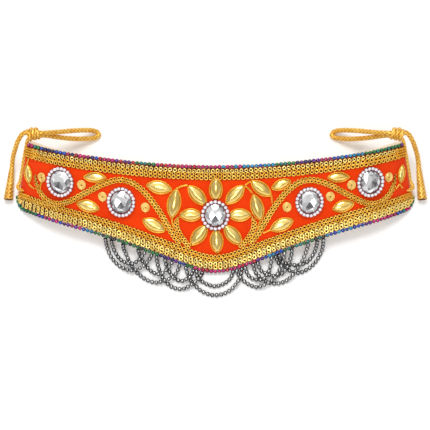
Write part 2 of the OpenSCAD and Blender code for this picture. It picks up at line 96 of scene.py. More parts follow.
@dataclass(frozen=True)
class Pattern:
    """The flat pattern of the belt and the bend that it is wrapped on, in millimetres."""

    middle_half_width: float = 140.0
    middle_angle: float = math.radians(7.0)
    end_radius: float = 95.0
    half_width: float = 199.0
    tilt: float = math.radians(30.0)
    back_shift: float = -36.0
    pad_back: float = -5.35
    cloth_inset: float = 1.95
    corner_radius: float = 7.5
    cloth_low_end: float = 204.5
    cloth_lean: float = 0.27
    cloth_height: float = 65.0
    low_base: float = -10.8
    low_slope: float = 0.5104
    low_round: float = 21.5
    low_bow: float = 0.000901
    top_base: float = 105.7
    top_bow: float = 0.000609
    top_flat: float = 3.9e-9
    cord_reach: float = 194.6
    cord_height: float = 112.0
    cord_lean: float = 0.28
    top_corner: float = 190.0

    @property
    def middle_radius(self) -> float:
        """Radius of the wide arc in the middle."""
        return self.middle_half_width / math.sin(self.middle_angle)

    @property
    def middle_arc(self) -> float:
        """Half length of the wide arc."""
        return self.middle_radius * self.middle_angle

    @property
    def arch_height(self) -> float:
        """Height of the bend's crest over its ends.

        Returns:
            The height in millimetres.
        """
        end = math.asin(
            math.sin(self.middle_angle) + (self.half_width - self.middle_half_width) / self.end_radius
        )
        middle = self.middle_radius * (1 - math.cos(self.middle_angle))
        return middle + self.end_radius * (math.cos(self.middle_angle) - math.cos(end))

    @property
    def rest_lift(self) -> float:
        """Lift that sets the tip of the padded backing on the surface.

        Returns:
            The lift in millimetres.
        """
        tip = float(self.low_line(0.0)) + self.cloth_inset
        height = self.arch_height + self.pad_back
        return -(tip * math.sin(self.tilt) + height * math.cos(self.tilt))

    def angle(self, s: Array) -> Array:
        """Bend angle in radians at a distance s along the belt.

        Args:
            s: Distances along the belt.

        Returns:
            Angles in radians.
        """
        s = np.asarray(s, dtype=float)
        outer = self.middle_angle + (np.abs(s) - self.middle_arc) / self.end_radius
        return np.where(np.abs(s) <= self.middle_arc, s / self.middle_radius, np.sign(s) * outer)

    def tilted(self, x: Values, v: Values, w: Values) -> Array:
        """Rows of x, y and z from x, a height v up the belt and a height w off its base."""
        cos, sin = math.cos(self.tilt), math.sin(self.tilt)
        return np.stack(np.broadcast_arrays(x, v * cos - w * sin, v * sin + w * cos), axis=-1)

    def place(self, s: Values, v: Values, h: Values) -> Array:
        """Turns places on the pattern into points of the frame.

        Args:
            s: Distances along the belt.
            v: Heights up the belt.
            h: Heights over the face of the cloth.

        Returns:
            One row of x, y and z in metres for each place.
        """
        s, v, h = np.broadcast_arrays(*(np.asarray(a, dtype=float) for a in (s, v, h)))
        turn = self.angle(s)
        wide = np.abs(s) <= self.middle_arc
        start = math.sin(self.middle_angle)
        side = self.middle_half_width + self.end_radius * (np.sin(np.abs(turn)) - start)
        across = np.where(wide, self.middle_radius * np.sin(turn), np.sign(s) * side)
        fall = self.middle_radius * (1 - np.cos(turn))
        end_fall = self.middle_radius * (1 - math.cos(self.middle_angle))
        end_fall = end_fall + self.end_radius * (math.cos(self.middle_angle) - np.cos(turn))
        rise = self.arch_height - np.where(wide, fall, end_fall)
        rows = self.tilted(across + h * np.sin(turn), v, rise + h * np.cos(turn))
        return (rows + [0.0, self.back_shift, self.rest_lift]) * MM

    def out(self, s: Values) -> Array:
        """Directions straight out of the face at distances s."""
        turn = self.angle(s)
        return self.tilted(np.sin(turn), 0.0, np.cos(turn))

    def along(self, s: Values) -> Array:
        """Directions along the belt at distances s."""
        turn = self.angle(s)
        return self.tilted(np.cos(turn), 0.0, -np.sin(turn))

    def axes(self, s: float) -> Array:
        """Directions along the belt, up it and out of it at a distance s, one for each row."""
        return np.stack([self.along(s), self.tilted(0.0, 1.0, 0.0), self.out(s)])

    def low_line(self, s: Array) -> Array:
        """Height of the bottom bead line."""
        s = np.asarray(s, dtype=float)
        return self.low_base + self.low_slope * np.sqrt(s * s + self.low_round**2) - self.low_bow * s * s

    def top_line(self, s: Array) -> Array:
        """Height of the top bead line."""
        s = np.asarray(s, dtype=float)
        return self.top_base + self.top_bow * s**2 - self.top_flat * s**4

    def above_low(self, s: Array, inset: float) -> Array:
        """Height of a line that runs at an inset above the bottom bead line.

        Args:
            s: Distances along the belt.
            inset: How far above the bead line it runs.

        Returns:
            Heights up the belt.
        """
        s = np.asarray(s, dtype=float)
        slope = self.low_slope * s / np.sqrt(s * s + self.low_round**2) - 2 * self.low_bow * s
        return self.low_line(s) + inset * np.sqrt(1 + slope * slope)

    def below_top(self, s: Array, inset: float) -> Array:
        """Height of a line that runs at an inset below the top bead line.

        Args:
            s: Distances along the belt.
            inset: How far below the bead line it runs.

        Returns:
            Heights up the belt.
        """
        s = np.asarray(s, dtype=float)
        slope = 2 * self.top_bow * s - 4 * self.top_flat * s**3
        return self.top_line(s) - inset * np.sqrt(1 + slope * slope)

    def end_line(self, v: Array) -> Array:
        """Distance of the end cord's line from the centre, at a height v."""
        return self.cord_reach + self.cord_lean * (self.cord_height - np.asarray(v, dtype=float))

    def end_at(self, inset: float) -> float:
        """Distance of the end cord's line from the centre, at an inset below the top bead line."""
        return float(self.end_line(self.below_top(self.top_corner, inset)))

    def cloth_end(self, v: Array) -> Array:
        """Distance of the cloth's end from the centre, at a height v."""
        return self.cloth_low_end - self.cloth_lean * (np.asarray(v, dtype=float) - self.cloth_height)

    def corner_rise(self, s: Array, outwards: float) -> Array:
        """Rise of the low edge round a bottom corner, outwards of it by some distance.

        Args:
            s: Distances along the belt.
            outwards: How far outwards of the cloth's edge the line runs.

        Returns:
            Heights to add.
        """
        radius = self.corner_radius + outwards
        into = np.abs(np.asarray(s, dtype=float)) - (self.cloth_low_end - self.corner_radius)
        into = np.maximum(into, 0.0)
        return radius - np.sqrt(np.maximum(radius * radius - into * into, 0.0))

    def cloth_low(self, s: Array) -> Array:
        """Height of the low edge of the cloth."""
        return self.above_low(s, self.cloth_inset) + self.corner_rise(s, 0.0)


PATTERN = Pattern()


# Routes and meshes


def smooth_route(points: Sequence[Sequence[float]], spacing: float) -> Array:
    """Runs a smooth curve through points and spaces it evenly.

    Args:
        points: The points that the curve runs through.
        spacing: About how far apart the points of the result are.

    Returns:
        One row for each point of the curve.
    """
    knots = np.asarray(points, dtype=float)
    padded = np.vstack([2 * knots[0] - knots[1], knots, 2 * knots[-1] - knots[-2]])
    steps = np.linspace(0.0, 1.0, 16, endpoint=False)[:, None]
    parts = []
    for i in range(len(knots) - 1):
        a, b, c, d = padded[i : i + 4]
        bend = (2 * a - 5 * b + 4 * c - d) * steps**2 + (3 * b - a - 3 * c + d) * steps**3
        parts.append(0.5 * (2 * b + (c - a) * steps + bend))
    return even_route(np.vstack([*parts, knots[-1:]]), spacing)


def travelled(points: Array) -> Array:
    """How far along a polyline each of its points is."""
    gaps = np.linalg.norm(np.diff(points, axis=0), axis=1)
    return np.concatenate([[0.0], np.cumsum(gaps)])


def even_route(points: Array, spacing: float) -> Array:
    """Spaces the points of a polyline evenly, both ends kept.

    Args:
        points: Points of the polyline.
        spacing: About how far apart the new points are.

    Returns:
        One row for each new point.
    """
    distance = travelled(points)
    count = max(2, int(round(distance[-1] / spacing)) + 1)
    wanted = np.linspace(0.0, distance[-1], count)
    return np.stack([np.interp(wanted, distance, column) for column in points.T], axis=-1)


def unit_rows(rows: Array) -> Array:
    """The rows, each made one long."""
    return rows / np.linalg.norm(rows, axis=1)[:, None]


def headings(line: Array) -> Array:
    """Direction of a line at each of its points."""
    return unit_rows(np.gradient(line, axis=0))


def sideways(line: Array) -> Array:
    """Direction on the pattern to the left of a line, at each of its points."""
    ahead = headings(line[:, :2])
    return np.stack([-ahead[:, 1], ahead[:, 0]], axis=-1)


def circle(count: int, shift: float = 0.0) -> Array:
    """Even angles round a circle, the first turned by a share of a step."""
    return (np.arange(count) + shift) * math.tau / count


def oval(angle: Array, radius: Values, tall: float, height: Values) -> Array:
    """Rows of x, y and z on an oval that is taller than wide by a share."""
    rows = np.broadcast_arrays(radius * np.cos(angle), tall * radius * np.sin(angle), height)
    return np.stack(rows, axis=-1)


def turned(points: Array, *turns: tuple[float, str]) -> Array:
    """Points turned about the axes of the frame, one turn after another, by angles in radians.

    Args:
        points: Points, one in each row.
        turns: Angles in radians, each with its axis.

    Returns:
        The turned points.
    """
    for angle, axis in turns:
        points = points @ np.array(Matrix.Rotation(angle, 3, axis)).T
    return points


def plait(strands: int, pitch: float) -> Relief:
    """Relief of a round plait of crossing strands, from 0 in its grooves to 1.

    Args:
        strands: Strands that lie side by side round the cord in each direction.
        pitch: Length along the cord from one crossing to the next, in metres.

    Returns:
        The relief as a function of the turn round the cord and the distance along it.
    """

    def relief(turn: Array, distance: Array) -> Array:
        """Relief at turns round the cord and distances along it, in metres.

        Args:
            turn: Angles round the cord, in radians.
            distance: Distances along it, in metres.

        Returns:
            Relief from 0 to 1.
        """
        one = strands * turn / math.tau + distance / pitch
        two = strands * turn / math.tau - distance / pitch
        one_over = (np.floor(one) + np.floor(two)) % 2 == 0
        one_share, two_share = one % 1.0, two % 1.0
        across = np.where(one_over, one_share, two_share)
        run = np.where(one_over, two_share, one_share)
        round_top = np.sqrt(np.maximum(0.0, 1 - (2 * across - 1) ** 2))
        return round_top * (0.55 + 0.45 * np.sin(math.pi * run))

    return relief


def twist(strands: int, pitch: float) -> Relief:
    """Relief of strands twisted one way round a cord, from 0 in its grooves to 1.

    Args:
        strands: Strands that are twisted together.
        pitch: Length along the cord from one groove to the next, in metres.

    Returns:
        The relief as a function of the turn round the cord and the distance along it.
    """

    def relief(turn: Array, distance: Array) -> Array:
        """Relief at turns round the cord and distances along it, in metres."""
        return np.abs(np.sin(math.pi * (strands * turn / math.tau + distance / pitch)))

    return relief


def link(name: str, data: bpy.types.ID) -> Thing:
    """Adds an object of some data to the scene.

    Args:
        name: Name of the object.
        data: Its mesh, camera or light.

    Returns:
        The new object.
    """
    thing = bpy.data.objects.new(name, data)
    bpy.context.scene.collection.objects.link(thing)
    return thing


def write_layer(mesh: bpy.types.Mesh, label: str, kind: str, values: Array) -> None:
    """Writes one value, vector or colour for each point of a mesh.

    Args:
        mesh: The mesh.
        label: Name of the attribute.
        kind: Its type.
        values: What it says at each point.
    """
    field = {"FLOAT": "value", "FLOAT_VECTOR": "vector", "FLOAT_COLOR": "color"}[kind]
    layer = mesh.attributes.new(label, kind, "POINT")
    layer.data.foreach_set(field, np.ravel(values).astype(np.float32))


def merge_points(piece: Thing, distance: float) -> None:
    """Merges the points of a piece that lie together, and turns its faces outwards.

    Args:
        piece: The piece, changed in place.
        distance: How near merged points are, in metres.
    """
    mesh = bmesh.new()
    mesh.from_mesh(piece.data)
    bmesh.ops.remove_doubles(mesh, verts=mesh.verts, dist=distance)
    bmesh.ops.recalc_face_normals(mesh, faces=mesh.faces)
    mesh.to_mesh(piece.data)
    mesh.free()


class Skin:
    """Gathers the points and faces of one piece, with a finish for each face."""

    def __init__(self) -> None:
        """Starts an empty skin."""
        self.points: list[Array] = []
        self.faces: list[list[int]] = []
        self.slots: list[int] = []
        self.depths: list[Array] = []
        self.tints: list[Array] = []
        self.count = 0

    def add(
        self,
        points: Array,
        faces: Iterable[Sequence[int]],
        slot: int = 0,
        depth: Optional[Array] = None,
        tint: float = 1.0,
    ) -> None:
        """Adds points and the faces between them.

        Args:
            points: One row of x, y and z in metres for each point.
            faces: Indices into points, outwards.
            slot: Which of the piece's finishes the faces take.
            depth: Relief from 0 to 1 at each point; finishes paint shade where it is low.
            tint: Painted reflection of the faces, from 0 for the dark tone to 1 for the bright one.
        """
        points = np.asarray(points, dtype=float).reshape(-1, 3)
        rows = [[int(i) + self.count for i in face] for face in faces]
        self.points.append(points)
        self.faces.extend(rows)
        self.slots.extend([slot] * len(rows))
        self.depths.append(np.ones(len(points)) if depth is None else np.ravel(depth))
        self.tints.append(np.full(len(points), tint))
        self.count += len(points)

    def add_grid(
        self, grid: Array, slot: int = 0, round_across: bool = False, depth: Optional[Array] = None
    ) -> None:
        """Adds a grid of points, outwards where the columns run left of the rows.

        Args:
            grid: Rows, columns and x, y, z.
            slot: Which of the piece's finishes the faces take.
            round_across: Joins the last column to the first.
            depth: Relief at each point of the grid.
        """
        rows, columns = grid.shape[:2]
        faces = []
        for i in range(rows - 1):
            for k in range(columns if round_across else columns - 1):
                low, side = i * columns + k, i * columns + (k + 1) % columns
                faces.append([low, side, side + columns, low + columns])
        self.add(grid, faces, slot, depth)

    def add_bar(
        self, grid: Array, slot: int = 0, depth: Optional[Array] = None, clockwise: bool = False
    ) -> None:
        """Adds a bar whose rows of points run round it, closed by a face at both ends.

        Args:
            grid: Rows, columns and x, y, z.
            slot: Which of the piece's finishes the faces take.
            depth: Relief at each point of the grid.
            clockwise: Says that the rows run clockwise, so that the end faces are turned over.
        """
        start = self.count
        self.add_grid(grid, slot, True, depth)
        around = range(grid.shape[1])
        last = self.count - len(around)
        ends = [[start + k for k in reversed(around)], [last + k for k in around]]
        self.faces.extend(end[::-1] if clockwise else end for end in ends)
        self.slots.extend([slot, slot])

    def add_slab(self, top: Array, bottom: Array) -> None:
        """Adds two grids of points and the walls between their rims.

        Args:
            top: Rows and columns of points of one face.
            bottom: The same for the other face.
        """
        self.add_grid(top[:, ::-1])
        self.add_grid(bottom)
        self.add_grid(np.stack([top[0], bottom[0]]))
        self.add_grid(np.stack([bottom[-1], top[-1]]))
        self.add_grid(np.stack([bottom[:, 0], top[:, 0]]))
        self.add_grid(np.stack([top[:, -1], bottom[:, -1]]))

    def add_tube(
        self,
        route: Array,
        radius: float,
        sides: int,
        relief: Optional[Relief] = None,
        share: float = 0.18,
        slot: int = 0,
        taper: float = 0.0,
    ) -> None:
        """Adds a round cord along a route, closed at both ends.

        Args:
            route: Points in metres.
            radius: Radius of the cord's highest strands.
            sides: Points round the cord.
            relief: Relief of its strands, if it has them.
            share: How deep the relief is, as a share of the radius.
            slot: Which of the piece's finishes it takes.
            taper: Length over which both ends thin to a blunt point.
        """
        ahead = headings(route)
        side = np.cross(ahead[0], [0.21, 0.36, 0.91])
        turns = circle(sides)
        distance = travelled(route)
        depth = np.ones((len(route), sides))
        # The relief is written as depth, which the gold finishes turn into painted shade in the grooves.
        if relief is not None:
            depth = relief(turns[None, :], distance[:, None])
        radii = radius * (1 - share * (1 - depth))
        if taper > 0:
            edge = np.minimum(distance, distance[-1] - distance) / taper
            radii = radii * np.sqrt(np.clip(edge + 0.08, 0.0, 1.0))[:, None]
        rings = np.empty((len(route), sides, 3))
        for i, direction in enumerate(ahead):
            side = side - direction * float(side @ direction)
            side /= np.linalg.norm(side)
            other = np.cross(direction, side)
            ring = np.cos(turns)[:, None] * side + np.sin(turns)[:, None] * other
            rings[i] = route[i] + radii[i][:, None] * ring
        self.add_bar(rings, slot, depth)

    def build(self, name: str, finishes: Sequence[bpy.types.Material], smooth: bool = True) -> Thing:
        """Makes the piece.

        Args:
            name: Name of the piece.
            finishes: Materials in the order of their slots.
            smooth: Shades the faces smoothly.

        Returns:
            The new object, at the origin.
        """
        mesh = bpy.data.meshes.new(name)
        mesh.from_pydata(np.vstack(self.points).tolist(), [], self.faces)
        for finish in finishes:
            mesh.materials.append(finish)
        mesh.polygons.foreach_set("material_index", self.slots)
        mesh.polygons.foreach_set("use_smooth", [smooth] * len(self.faces))
        write_layer(mesh, "depth", "FLOAT", np.concatenate(self.depths))
        write_layer(mesh, "tint", "FLOAT", np.concatenate(self.tints))
        mesh.update()
        return link(name, mesh)


# Finishes


class NodePen:
    """Adds and joins the nodes of one tree."""

    def __init__(self, tree: bpy.types.NodeTree) -> None:
        """Keeps the tree that the nodes go to."""
        self.tree = tree

    def put(self, node: bpy.types.Node, inputs: dict) -> None:
        """Gives inputs of a node, by name or number, their values or the sockets to join.

        Args:
            node: The node.
            inputs: What each input takes.
        """
        for label, value in inputs.items():
            if isinstance(value, Socket):
                self.tree.links.new(value, node.inputs[label])
            else:
                node.inputs[label].default_value = value

    def node(self, kind: str, inputs: Optional[dict] = None, **settings: object) -> bpy.types.Node:
        """Adds a node.

        Args:
            kind: Its type.
            inputs: Values, or output sockets to join, by the name or number of the input.
            settings: Properties of the node.

        Returns:
            The node.
        """
        node = self.tree.nodes.new(kind)
        for label, value in settings.items():
            setattr(node, label, value)
        self.put(node, inputs or {})
        return node

    def mix(self, share: object, low: object, high: object) -> Socket:
        """Mixes two colours by a share, and returns the colour's socket."""
        ends = [end if isinstance(end, Socket) else (*end, 1.0) for end in (low, high)]
        return self.node("ShaderNodeMix", {0: share, 6: ends[0], 7: ends[1]}, data_type="RGBA").outputs[2]

    def spread(
        self, value: Socket, low: float, high: float, to_low: float = 0.0, to_high: float = 1.0
    ) -> Socket:
        """Maps a range of a value to another range, and returns the result's socket."""
        ends = {"From Min": low, "From Max": high, "To Min": to_low, "To Max": to_high}
        return self.node("ShaderNodeMapRange", {"Value": value, **ends}).outputs["Result"]

    def calculate(self, operation: str, one: object, two: object) -> Socket:
        """Joins two numbers by an operation, and returns the result's socket."""
        return self.node("ShaderNodeMath", {0: one, 1: two}, operation=operation).outputs[0]


class ShaderPen(NodePen):
    """Draws one material with a Principled shader, on the object's own coordinates."""

    def __init__(self, name: str) -> None:
        """Makes the material and its shader.

        Args:
            name: Name of the material.
        """
        self.material = bpy.data.materials.new(name)
        self.material.use_nodes = True
        super().__init__(self.material.node_tree)
        self.tree.nodes.clear()
        self.shader = self.node("ShaderNodeBsdfPrincipled")
        self.node("ShaderNodeOutputMaterial", {"Surface": self.shader.outputs["BSDF"]})
        self.where = self.node("ShaderNodeTexCoord").outputs["Object"]

    def noise(self, scale: float, detail: float, **inputs: object) -> Socket:
        """Adds a noise of some scale and detail, and returns its socket."""
        given = {"Vector": self.where, "Scale": scale, "Detail": detail, **inputs}
        return self.node("ShaderNodeTexNoise", given).outputs["Fac"]

    def read(self, name: str, output: str = "Fac") -> Socket:
        """Reads an attribute of the mesh, and returns its socket."""
        return self.node("ShaderNodeAttribute", attribute_name=name).outputs[output]

    def bump(self, height: Socket, strength: float, distance: float) -> None:
        """Raises the surface by a height."""
        given = {"Height": height, "Strength": strength, "Distance": distance}
        self.put(self.shader, {"Normal": self.node("ShaderNodeBump", given).outputs["Normal"]})


@dataclass(frozen=True)
class Finish:
    """A procedural material that is made once and shared by the pieces that take it."""

    name: str

    def make(self) -> bpy.types.Material:
        """Makes the material.

        Returns:
            The material.
        """
        pen = ShaderPen(self.name)
        pen.put(pen.shader, self.draw(pen))
        return pen.material

    def draw(self, pen: ShaderPen) -> dict:
        """Draws the textures."""
        raise NotImplementedError


@dataclass(frozen=True)
class GoldFinish(Finish):
    """Gilded wire, thread or foil: bright on its strands, with shade painted dark in its grooves and on the
    low sides of rings and balls.
    """

    bright: Colour
    deep: Colour
    # groove is the colour of the painted shade in grooves and on low sides
    groove: Colour
    roughness: float
    grain: float = 900.0
    grain_depth: float = 0.00008
    metallic: float = 1.0
    edge: float = 1.0

    def draw(self, pen: ShaderPen) -> dict:
        """Draws the metal.

        Args:
            pen: The material's pen.

        Returns:
            Inputs of the shader by their names.
        """
        gilt = pen.mix(pen.spread(pen.noise(160.0, 3.0), 0.35, 0.65), self.deep, self.bright)
        fine = pen.noise(self.grain, 2.0)
        pen.bump(fine, 0.5, self.grain_depth)
        return {
            # Painted shade: the groove colour is mixed in where the depth attribute is low
            "Base Color": pen.mix(pen.spread(pen.read("depth"), 0.15, 0.75), self.groove, gilt),
            "Metallic": self.metallic,
            "Specular Tint": (self.edge, self.edge, self.edge, 1.0),
            "Roughness": pen.spread(fine, 0.3, 0.7, self.roughness * 0.8, self.roughness * 1.25),
        }


@dataclass(frozen=True)
class FeltFinish(Finish):
    """Pressed felt: matt, with short fibres and a faint mottle."""

    colour: Colour
    shade: Colour
    fibre_scale: float = 700.0

    def draw(self, pen: ShaderPen) -> dict:
        """Draws the felt.

        Args:
            pen: The material's pen.

        Returns:
            Inputs of the shader by their names.
        """
        lay = {"Vector": pen.where, "Scale": (1.0, 1.6, 1.0), "Rotation": (0.3, 0.2, 0.6)}
        along = pen.node("ShaderNodeMapping", lay).outputs["Vector"]
        fibre = pen.noise(self.fibre_scale, 5.0, Vector=along, Distortion=1.4)
        cloud = pen.spread(pen.noise(55.0, 4.0), 0.3, 0.7, 0.0, 0.6)
        tone = pen.mix(cloud, self.colour, self.shade)
        pen.bump(fibre, 0.8, 0.0004)
        return {
            "Base Color": pen.mix(pen.spread(fibre, 0.35, 0.65, 0.0, 0.8), tone, self.colour),
            "Roughness": 0.95,
            "Sheen Weight": 0.15,
            "Sheen Roughness": 0.4,
            "Specular IOR Level": 0.15,
        }


@dataclass(frozen=True)
class ClothFinish(Finish):
    """Plain woven cotton of the backing."""

    colour: Colour
    shade: Colour
    threads_per_metre: float = 2200.0

    def draw(self, pen: ShaderPen) -> dict:
        """Draws the weave.

        Args:
            pen: The material's pen.

        Returns:
            Inputs of the shader by their names.
        """
        given = {"Vector": pen.where, "Scale": self.threads_per_metre / 20.0, "Distortion": 0.6}
        waves = [
            pen.node("ShaderNodeTexWave", given, bands_direction=axis).outputs["Fac"] for axis in ("X", "Y")
        ]
        weave = pen.calculate("MULTIPLY", *waves)
        tone = pen.mix(pen.spread(pen.noise(40.0, 4.0), 0.35, 0.65), self.colour, self.shade)
        pen.bump(weave, 0.4, 0.00015)
        return {
            "Base Color": pen.mix(pen.spread(weave, 0.0, 1.0, 0.25, 0.0), tone, self.shade),
            "Roughness": 0.9,
            "Sheen Weight": 0.2,
        }


@dataclass(frozen=True)
class GlassBeadFinish(Finish):
    """Glass seed beads that take their dye from each bead, with shade painted dark at their sides."""

    shade: Colour

    def draw(self, pen: ShaderPen) -> dict:
        """Draws the glass.

        Args:
            pen: The material's pen.

        Returns:
            Inputs of the shader by their names.
        """
        dye = pen.read("dye", "Color")
        streak = pen.noise(420.0, 2.0)
        pale = pen.mix(0.03, dye, (1.0, 1.0, 1.0))
        glass = pen.mix(pen.spread(streak, 0.35, 0.75, 0.0, 0.6), dye, pale)
        return {
            # Painted shade: the shade colour darkens each bead's sides.
            "Base Color": pen.mix(pen.spread(pen.read("depth"), 0.1, 0.6), self.shade, glass),
            "Roughness": pen.spread(streak, 0.3, 0.7, 0.06, 0.16),
            "Specular IOR Level": 0.6,
        }


@dataclass(frozen=True)
class StoneFinish(Finish):
    """Cut glass stone on silver foil, with reflections painted per facet as tones between the dark colour
    and the silver.
    """

    silver: Colour
    smoke: Colour

    def draw(self, pen: ShaderPen) -> dict:
        """Draws the stone.

        Args:
            pen: The material's pen.

        Returns:
            Inputs of the shader by their names.
        """
        ripple = pen.noise(90.0, 1.0)
        pen.bump(ripple, 0.15, 0.0002)
        return {
            # Painted reflections: the tint attribute mixes each facet between the dark colour and the
            # silver.
            "Base Color": pen.mix(pen.read("tint"), self.smoke, self.silver),
            "Roughness": pen.spread(ripple, 0.3, 0.7, 0.02, 0.09),
            "Metallic": 0.6,
            "Coat Weight": 1.0,
            "Coat Roughness": 0.02,
        }


@dataclass(frozen=True)
class PearlFinish(Finish):
    """Pearl coating with a soft play of rose and blue, and shade painted towards each pearl's sides."""

    white: Colour
    rose: Colour
    blue: Colour
    shade: Colour

    def draw(self, pen: ShaderPen) -> dict:
        """Draws the coating.

        Args:
            pen: The material's pen.

        Returns:
            Inputs of the shader by their names.
        """
        cloud = pen.noise(260.0, 2.0)
        tone = pen.mix(pen.spread(cloud, 0.4, 0.6), self.rose, self.blue)
        coat = pen.mix(pen.spread(pen.noise(190.0, 1.0), 0.35, 0.7, 0.0, 0.9), self.white, tone)
        return {
            # Painted shade: the shade colour darkens each pearl towards its sides.
            "Base Color": pen.mix(pen.spread(pen.read("depth"), 0.0, 0.7), self.shade, coat),
            "Roughness": pen.spread(cloud, 0.3, 0.7, 0.18, 0.3),
            "Coat Weight": 0.6,
            "Coat Roughness": 0.08,
            "Subsurface Weight": 0.1,
            "Subsurface Radius": (0.001, 0.0008, 0.0006),
            "Subsurface Scale": 0.5,
        }


@dataclass(frozen=True)
class SurfaceFinish(Finish):
    """Pale seamless surface that the belt lies on."""

    colour: Colour
    glow: float

    def draw(self, pen: ShaderPen) -> dict:
        """Draws the surface.

        Args:
            pen: The material's pen.

        Returns:
            Inputs of the shader by their names.
        """
        return {
            "Base Color": (*self.colour, 1.0),
            "Roughness": pen.spread(pen.noise(60.0, 2.0), 0.3, 0.7, 0.85, 0.95),
            "Specular IOR Level": 0.1,
            "Emission Color": (1.0, 1.0, 1.0, 1.0),
            "Emission Strength": self.glow,
        }


class Gilt(Enum):
    """The finishes that are made of gold, silver or dark metal, and the dark finishes of painted shade."""

    SEQUIN = GoldFinish(
        "pale_gold", (1.0, 0.79, 0.25), (1.0, 0.63, 0.12), (0.28, 0.08, 0.0), 0.15, metallic=0.55
    )
    BRAID = GoldFinish(
        "gold_braid", (1.0, 0.6, 0.08), (0.95, 0.42, 0.02), (0.16, 0.03, 0.0), 0.24, metallic=0.4
    )
    LEAF = GoldFinish(
        "leaf_gold", (1.0, 0.76, 0.26), (0.95, 0.64, 0.16), (0.6, 0.35, 0.06), 0.16, 300.0, 0.00003, 0.8
    )
    RIM = GoldFinish(
        "leaf_rim", (1.0, 0.54, 0.04), (0.92, 0.37, 0.01), (0.25, 0.06, 0.0), 0.28, metallic=0.4
    )
    # Painted shade: a dark line in the gap between a leaf's threads and its dome.
    SEAM = GoldFinish(
        "leaf_seam", (0.16, 0.03, 0.0), (0.08, 0.015, 0.0), (0.05, 0.01, 0.0), 0.6, 1200.0, 0.0001, 0.1
    )
    DISC = GoldFinish(
        "disc_gold", (0.95, 0.68, 0.22), (0.86, 0.54, 0.12), (0.35, 0.14, 0.02), 0.3, metallic=0.4
    )
    CORD = GoldFinish(
        "gold_cord", (1.0, 0.62, 0.11), (0.9, 0.44, 0.04), (0.2, 0.06, 0.004), 0.34, 1500.0, 0.00012, 0.4
    )
    CAP = GoldFinish(
        "cap_gold", (0.95, 0.54, 0.09), (0.74, 0.35, 0.04), (0.1, 0.03, 0.002), 0.36, 1500.0, 0.00012, 0.4
    )
    # The balls take painted shade on their sides and a light top from their depth.
    CHAIN = GoldFinish(
        "ball_chain", (0.4, 0.4, 0.4), (0.28, 0.28, 0.285), (0.012, 0.012, 0.012), 0.17, 600.0,
        0.00003, 0.92, 0.1,
    )
    # Painted shade: a dark sheet under rings and threads, standing for the red felt in shadow in their
    # holes.
    GROUND = GoldFinish(
        "braid_ground", (0.08, 0.014, 0.0), (0.04, 0.006, 0.0), (0.02, 0.0, 0.0), 0.8, 1200.0, 0.0001, 0.0
    )


class Soft(Enum):
    """The finishes of cloth, glass and pearl."""

    FELT = FeltFinish("red_cloth", (0.83, 0.046, 0.0), (0.52, 0.014, 0.0))
    COTTON = ClothFinish("cream_pad", (0.9, 0.78, 0.58), (0.72, 0.55, 0.36))
    BEAD = GlassBeadFinish("seed_beads", (0.01, 0.008, 0.012))
    STONE = StoneFinish("crystal", (0.97, 0.97, 0.98), (0.1, 0.1, 0.11))
    PEARL = PearlFinish("pearl", (0.8, 0.79, 0.81), (0.78, 0.66, 0.7), (0.62, 0.7, 0.8), (0.2, 0.13, 0.16))
    THREAD = ClothFinish("thread", (0.85, 0.82, 0.8), (0.6, 0.55, 0.55), 4000.0)
    DARK_THREAD = ClothFinish("dark_thread", (0.05, 0.02, 0.015), (0.02, 0.01, 0.01), 4000.0)
    STITCH = ClothFinish("stitches", (0.2, 0.03, 0.03), (0.08, 0.01, 0.015), 4000.0)
    SURFACE = SurfaceFinish("surface", (0.9, 0.89, 0.88), 0.06)


class Paint:
    """Hands out each finish's material, made when it is first asked for."""

    def __init__(self) -> None:
        """Starts with nothing made."""
        self.made: dict[Enum, bpy.types.Material] = {}

    def get(self, finish: Enum) -> bpy.types.Material:
        """The material of a finish.

        Args:
            finish: The finish.

        Returns:
            Its material.
        """
        if finish not in self.made:
            self.made[finish] = finish.value.make()
        return self.made[finish]


# Geometry Nodes that string pieces on a line


@dataclass(frozen=True)
class Jitter:
    """How strung copies differ: shares of size, angles in radians, their seed and their size."""

    size_spread: float
    turn_spread: float
    seed: int
    size: float = 1.0


